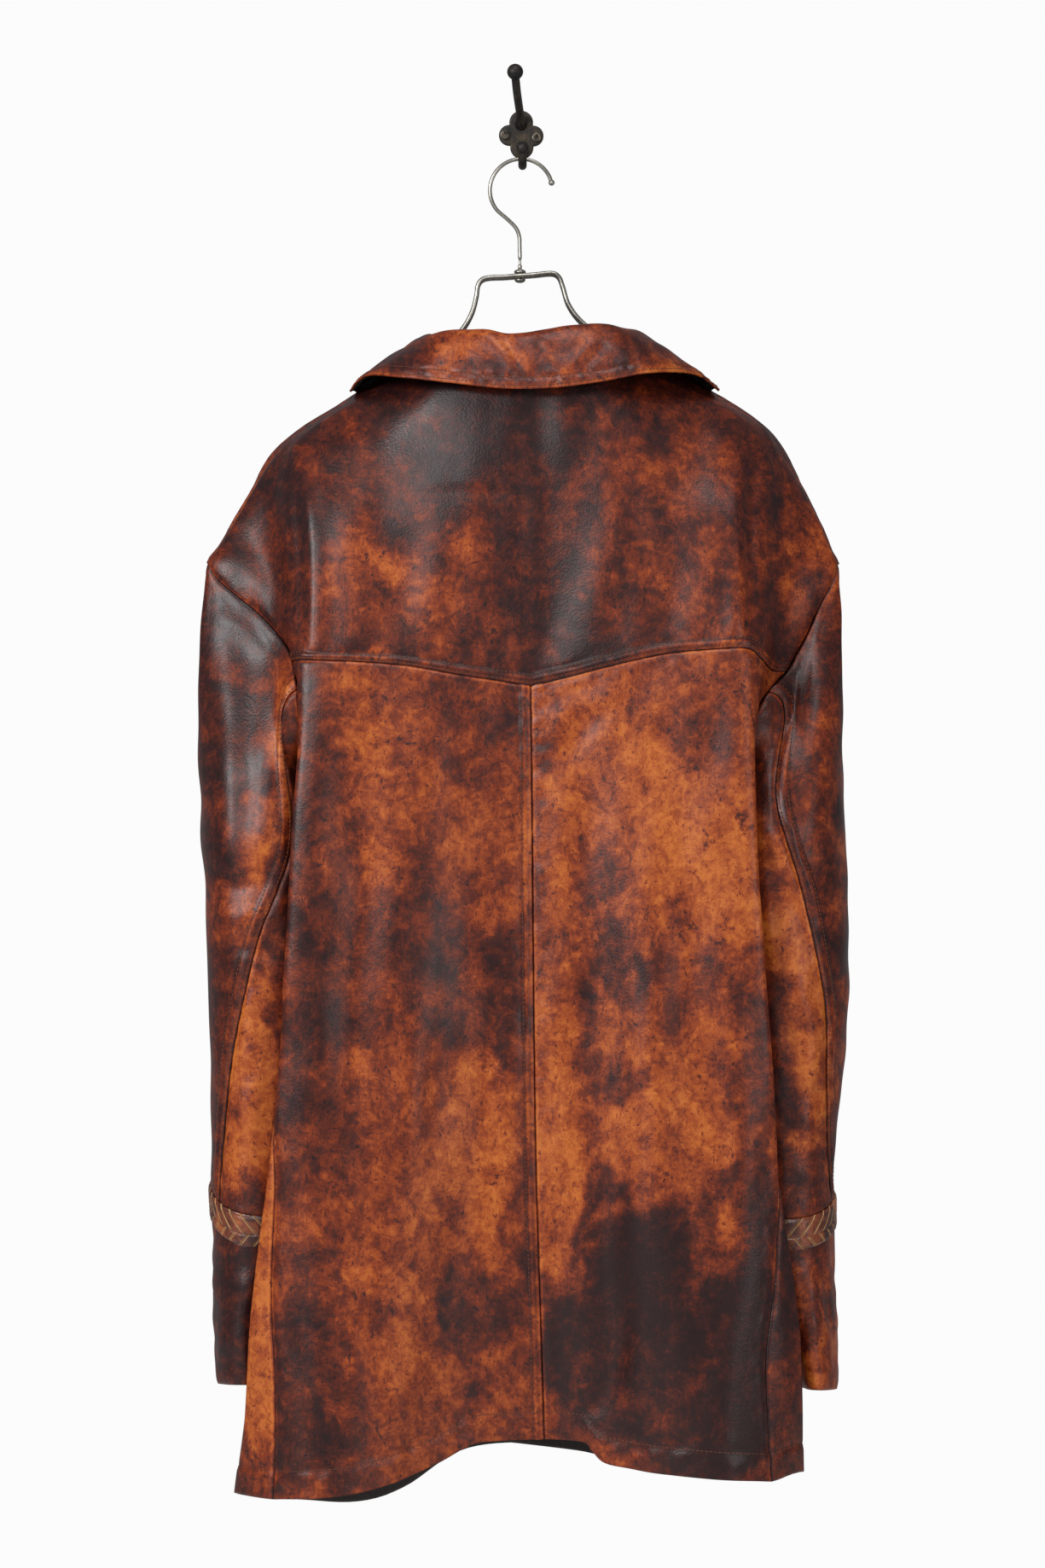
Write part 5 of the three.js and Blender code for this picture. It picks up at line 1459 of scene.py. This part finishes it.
# The buttons: dark horn discs with a rolled rim, sewn through two pairs of holes.
def lathe(profile, sides):
    """A profile of (radius, height) turned round the y axis; both ends are on the axis."""
    turn = np.arange(sides) * 2 * np.pi / sides
    r, h = np.array(profile[1:-1], float).T
    rings = np.stack([
        r[:, None] * np.cos(turn), np.broadcast_to(h[:, None], (len(r), sides)), r[:, None] * np.sin(turn),
    ], axis=-1).reshape(-1, 3)
    points = np.concatenate([[(0, profile[0][1], 0)], rings, [(0, profile[-1][1], 0)]])
    index = 1 + np.arange(len(r) * sides).reshape(len(r), sides)
    nxt = np.roll(index, -1, axis=1)
    start = np.stack([np.zeros(sides, int), nxt[0], index[0]], axis=-1)
    stop = np.stack([np.full(sides, len(points) - 1), index[-1], nxt[-1]], axis=-1)
    return points, [*between_rings(index).tolist(), *start.tolist(), *stop.tolist()]


def plain_piece(name, parts, paint, nodes=()):
    """One mesh from parts, each (points in millimetres, faces), turned to face outwards."""
    points, faces, count = [], [], 0
    for part, part_faces in parts:
        points.append(part)
        faces += [tuple(int(k) + count for k in face) for face in part_faces]
        count += len(part)
    data = mesh_of(name, np.concatenate(points), faces, paint)
    shape = bmesh.new()
    shape.from_mesh(data)
    bmesh.ops.recalc_face_normals(shape, faces=shape.faces)
    shape.to_mesh(data)
    shape.free()
    return placed(name, data, nodes)


horn_paint = Paint("dark_horn")
streak = horn_paint.noise(1, 5, 0.6, 1.5, horn_paint.where((60, 60, 260)))
horn = horn_paint.finish(
    Base_Color=horn_paint.ramp(streak, [(0.35, (0.012, 0.009, 0.008)), (0.65, (0.07, 0.04, 0.025))]),
    Roughness=0.25,
    Coat_Weight=0.3,
)
BUTTON = [
    (0, 0), (5.5, 0), (8.2, 0.3), (9.0, 1.2), (9.0, 2.0), (8.4, 2.9), (7.4, 3.0), (6.4, 2.5), (3.5, 2.2),
    (0, 2.2),
]
UP = np.array([0, 1, 0])  # out of the coat's front


def thread_arch(angle):
    """A bundle of thread that arches from hole to hole across a button."""
    t = np.linspace(0, 1, 9)[:, None]
    turn = (np.arange(8) * np.pi / 4)[:, None]
    way = np.array([np.cos(angle), 0, np.sin(angle)])
    beside = np.array([-np.sin(angle), 0, np.cos(angle)])
    arch = way * ((t - 0.5) * 6) + UP * (2.1 + 0.75 * np.sin(np.pi * t))
    tube = arch[:, None] + beside * (0.5 * np.cos(turn)) + UP * (0.5 * np.sin(turn))
    index = np.arange(len(t) * len(turn)).reshape(len(t), len(turn))
    return tube.reshape(-1, 3), [*between_rings(index).tolist(), list(index[0][::-1]), list(index[-1])]


for k in range(1, 5):
    low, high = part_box("button_%d" % k)
    centre_of = [(low[0] + high[0]) * 500, low[1] * 1000, (low[2] + high[2]) * 500]
    points, faces = lathe(BUTTON, 48)
    cross = [(tube + centre_of, quads) for tube, quads in (thread_arch(0.0), thread_arch(np.pi / 2))]
    plain_piece("horn_button_%d" % k, [(points + centre_of, faces)], horn, ["button_%d" % k])
    plain_piece("button_thread_%d" % k, cross, thread)


# The hanger: two bright steel rods bent to one loop, a turned ferrule between them, and a hook of
# round wire that swivels in it and ends in a ball.
steel_paint = Paint("brushed_steel")
draw = steel_paint.noise(1, 4, 0.6, 0.2, steel_paint.where((900, 900, 120)))
dull = steel_paint.noise(60, 5, 0.6)
steel = steel_paint.finish(
    Base_Color=steel_paint.ramp(dull, [(0.3, (0.27, 0.255, 0.22)), (0.7, (0.50, 0.48, 0.43))]),
    Metallic=1.0,
    Roughness=0.30 + (draw - 0.5) * 0.25 + (dull - 0.5) * 0.2,
)


def rod(points, radius, reference, sides=16, closed=False, samples=160, profile=None):
    """A round bar along a smooth curve: each ring stands across the curve, squared to a reference
    way; radius may change by profile(t)."""
    pts = np.array(points, float)
    if closed:
        rows = np.concatenate([pts[-3:], pts, pts[:3]])
        gap = np.linalg.norm(np.diff(rows, axis=0), axis=1) ** 0.5
        at = np.concatenate([[0], np.cumsum(gap)])
        t = np.linspace(at[3], at[3 + len(pts)], samples, endpoint=False)
    else:
        rows = pts
        at = np.concatenate([[0], np.cumsum(np.linalg.norm(np.diff(rows, axis=0), axis=1) ** 0.5)])
        t = np.linspace(0, at[-1], samples)
    keys = np.concatenate([at[:, None], rows], axis=1)
    line = along(keys, t)
    if closed:
        tangent = unit(np.roll(line, -1, axis=0) - np.roll(line, 1, axis=0))
    else:
        tangent = unit(np.gradient(line, axis=0))
    up = unit(reference - tangent * (tangent @ np.array(reference, float))[:, None])
    beside = np.cross(tangent, up)
    turn = np.arange(sides) * 2 * np.pi / sides
    thick = radius if profile is None else radius * profile(np.linspace(0, 1, samples))[:, None, None]
    ring = up[:, None] * np.cos(turn)[None, :, None] + beside[:, None] * np.sin(turn)[None, :, None]
    mesh = line[:, None] + ring * thick
    index = np.arange(samples * sides).reshape(samples, sides)
    if closed:
        faces = between_rings(np.concatenate([index, index[:1]])).tolist()
    else:
        faces = [*between_rings(index).tolist(), list(index[0][::-1]), list(index[-1])]
    return mesh.reshape(-1, 3), faces


def ball(radius, centre):
    """A sphere as a half circle turned round."""
    t = np.linspace(0, np.pi, 17)
    profile = [(radius * np.sin(k), -radius * np.cos(k)) for k in t]
    points, faces = lathe(profile, 28)
    return points + centre, faces


HANGER_DEPTH = -30
HANGER = [
    (-175.9, -245.9, 8), (-134.6, -216.8, 8), (-92.5, -190.1, 8), (-62.5, -172.6, 8), (-46, -156.2, 7.5),
    (-38.5, -143, 7), (-35, -130, 6), (-33.5, -121, 5.6), (-29, -116.6, 5.5), (-12, -115.2, 5.5),
    (10, -113.6, 5.5), (25, -112.6, 5.5), (29.6, -115.6, 5.6), (32.5, -123, 6), (37, -137, 7),
    (47, -150.4, 8), (67, -165, 8), (102.7, -184.4, 8), (155.1, -218.3, 8), (181.8, -237.4, 8),
]
loop = [(x, HANGER_DEPTH + h, z) for x, z, h in HANGER]
loop.append((187.4, HANGER_DEPTH, -240.9))
loop += [(x, HANGER_DEPTH - h, z) for x, z, h in reversed(HANGER)]
loop.append((-180.6, HANGER_DEPTH, -249.3))
rods = rod(loop, 1.75, (0, 0.35, 1), closed=True, samples=520)
plain_piece("hanger_rods", [rods], steel, ["hanger_frame"])
FERRULE = [
    (0, -119.5), (1.9, -119.5), (3.2, -118.9), (4.2, -118), (4.2, -116.6), (3.4, -116.2), (3.3, -114.5),
    (3.4, -112.4), (4.4, -112), (4.6, -111.2), (4.4, -110.2), (3.6, -109.6), (1.9, -108.9), (0, -108.8),
]
points, faces = lathe(FERRULE, 40)
points = np.stack([points[:, 0] - 1, points[:, 2] + HANGER_DEPTH, points[:, 1]], axis=-1)
plain_piece("ferrule", [(points, faces)], steel, ["hanger_ferrule"])
HOOK_RADIUS = 24.5
HOOK_LEVEL = -47
HOOK_SHANK = [(-10.5, -70), (-4.2, -76.5), (-1.6, -83), (-1.2, -92), (-1, -101), (-1, -108.4)]
turn = np.radians(14 + 206 * np.arange(17) / 16)
hook_line = [(HOOK_RADIUS * np.cos(k), HANGER_DEPTH, HOOK_LEVEL + HOOK_RADIUS * np.sin(k)) for k in turn]
hook_line += [(x, HANGER_DEPTH, z) for x, z in HOOK_SHANK]


def waist(t):
    """The wire is turned thinner just above the ferrule."""
    return 1 - 0.38 * step(0.945, 0.955, t) * (1 - step(0.975, 0.985, t))


plain_piece(
    "hook_wire",
    [rod(hook_line, 1.55, (0, 1, 0), samples=200, profile=waist), ball(2.4, np.array(hook_line[0]))],
    steel, ["hanger_hook"],
)


# The wall hook: cast iron, blackened and rubbed brown on the prongs. A four-lobed plate carries a
# tall upper prong and a short lower one, each with a ball end, and two cross-head screws hold it.
iron_paint = Paint("cast_iron")
rub = iron_paint.noise(70, 6, 0.65, 0.3)
pits = iron_paint.noise(380, 5, 0.65)
iron = iron_paint.finish(
    Base_Color=iron_paint.ramp(
        rub, [(0.36, (0.012, 0.012, 0.013)), (0.52, (0.035, 0.028, 0.022)), (0.72, (0.12, 0.078, 0.042))]
    ),
    Metallic=0.55,
    Roughness=0.46 + (rub - 0.5) * 0.3,
    Normal=iron_paint.bump(pits, 0.5, 0.0006),
)
LOBES = [(0, 10, 9.4), (0.5, -9.4, 9.2), (-9.4, 0, 8.2), (9.4, -0.5, 8.2)]
PLATE = [(0, 0.0), (0, -1.9), (0.35, -2.7), (1.1, -3.15), (2.4, -3.2), (5.5, -3.2)]  # (inset, y)
PLATE_SIDES = 160
turn = np.arange(PLATE_SIDES) * 2 * np.pi / PLATE_SIDES
reach = np.zeros(PLATE_SIDES)
for x, z, r in LOBES:
    d, f = np.hypot(x, z), np.arctan2(z, x)
    square = r * r - (d * np.sin(turn - f)) ** 2
    reach = np.maximum(reach, np.where(square > 0, d * np.cos(turn - f) + np.sqrt(np.maximum(square, 0)), 0))
round_plate = np.stack([np.cos(turn), np.sin(turn)])
rings = []
for inset, y in PLATE:
    x, z = (reach - inset) * round_plate
    rings.append(np.stack([x, np.full(PLATE_SIDES, y), z], axis=-1))
points = np.concatenate([*rings, [(0, -3.2, 0)], [(0, 0.0, 0)]])
index = np.arange(len(PLATE) * PLATE_SIDES).reshape(len(PLATE), PLATE_SIDES)
nxt = np.roll(index, -1, axis=1)
faces = between_rings(index).tolist()
faces += np.stack([index[-1], nxt[-1], np.full(PLATE_SIDES, index.size)], axis=-1).tolist()
faces += np.stack([nxt[0], index[0], np.full(PLATE_SIDES, index.size + 1)], axis=-1).tolist()
LOWER = [(0.8, -1.5, -8), (1, -10, -19), (1, -20, -25.4), (1, -30, -27.6), (1, -38.5, -24.6), (1, -43, -17.5)]
UPPER = [(0, -1.5, 8), (-0.6, -12, 13), (-1.8, -28, 19), (-3.4, -46, 28), (-4.6, -56, 38.5)]
plain_piece(
    "cast_hook",
    [
        (points, faces),
        rod(LOWER, 3.35, (1, 0, 0), 20, samples=60, profile=lambda t: 1 + 0.42 * (1 - step(0, 0.25, t))),
        rod(UPPER, 3.2, (1, 0, 0), 20, samples=60, profile=lambda t: 1 + 0.56 * (1 - step(0, 0.3, t))),
        ball(5, np.array([1, -43.4, -15.6])),
        ball(6.3, np.array([-4.7, -57, 41.5])),
    ],
    iron, ["wall_hook"],
)
screw_paint = Paint("worn_screw")
screw_rub = screw_paint.noise(260, 5, 0.6)
screw = screw_paint.finish(
    Base_Color=screw_paint.ramp(screw_rub, [(0.4, (0.03, 0.025, 0.02)), (0.65, (0.20, 0.17, 0.13))]),
    Metallic=0.8,
    Roughness=0.42,
)
for name in ("screw_left", "screw_right"):
    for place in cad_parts[name].material_slots:
        place.material = screw
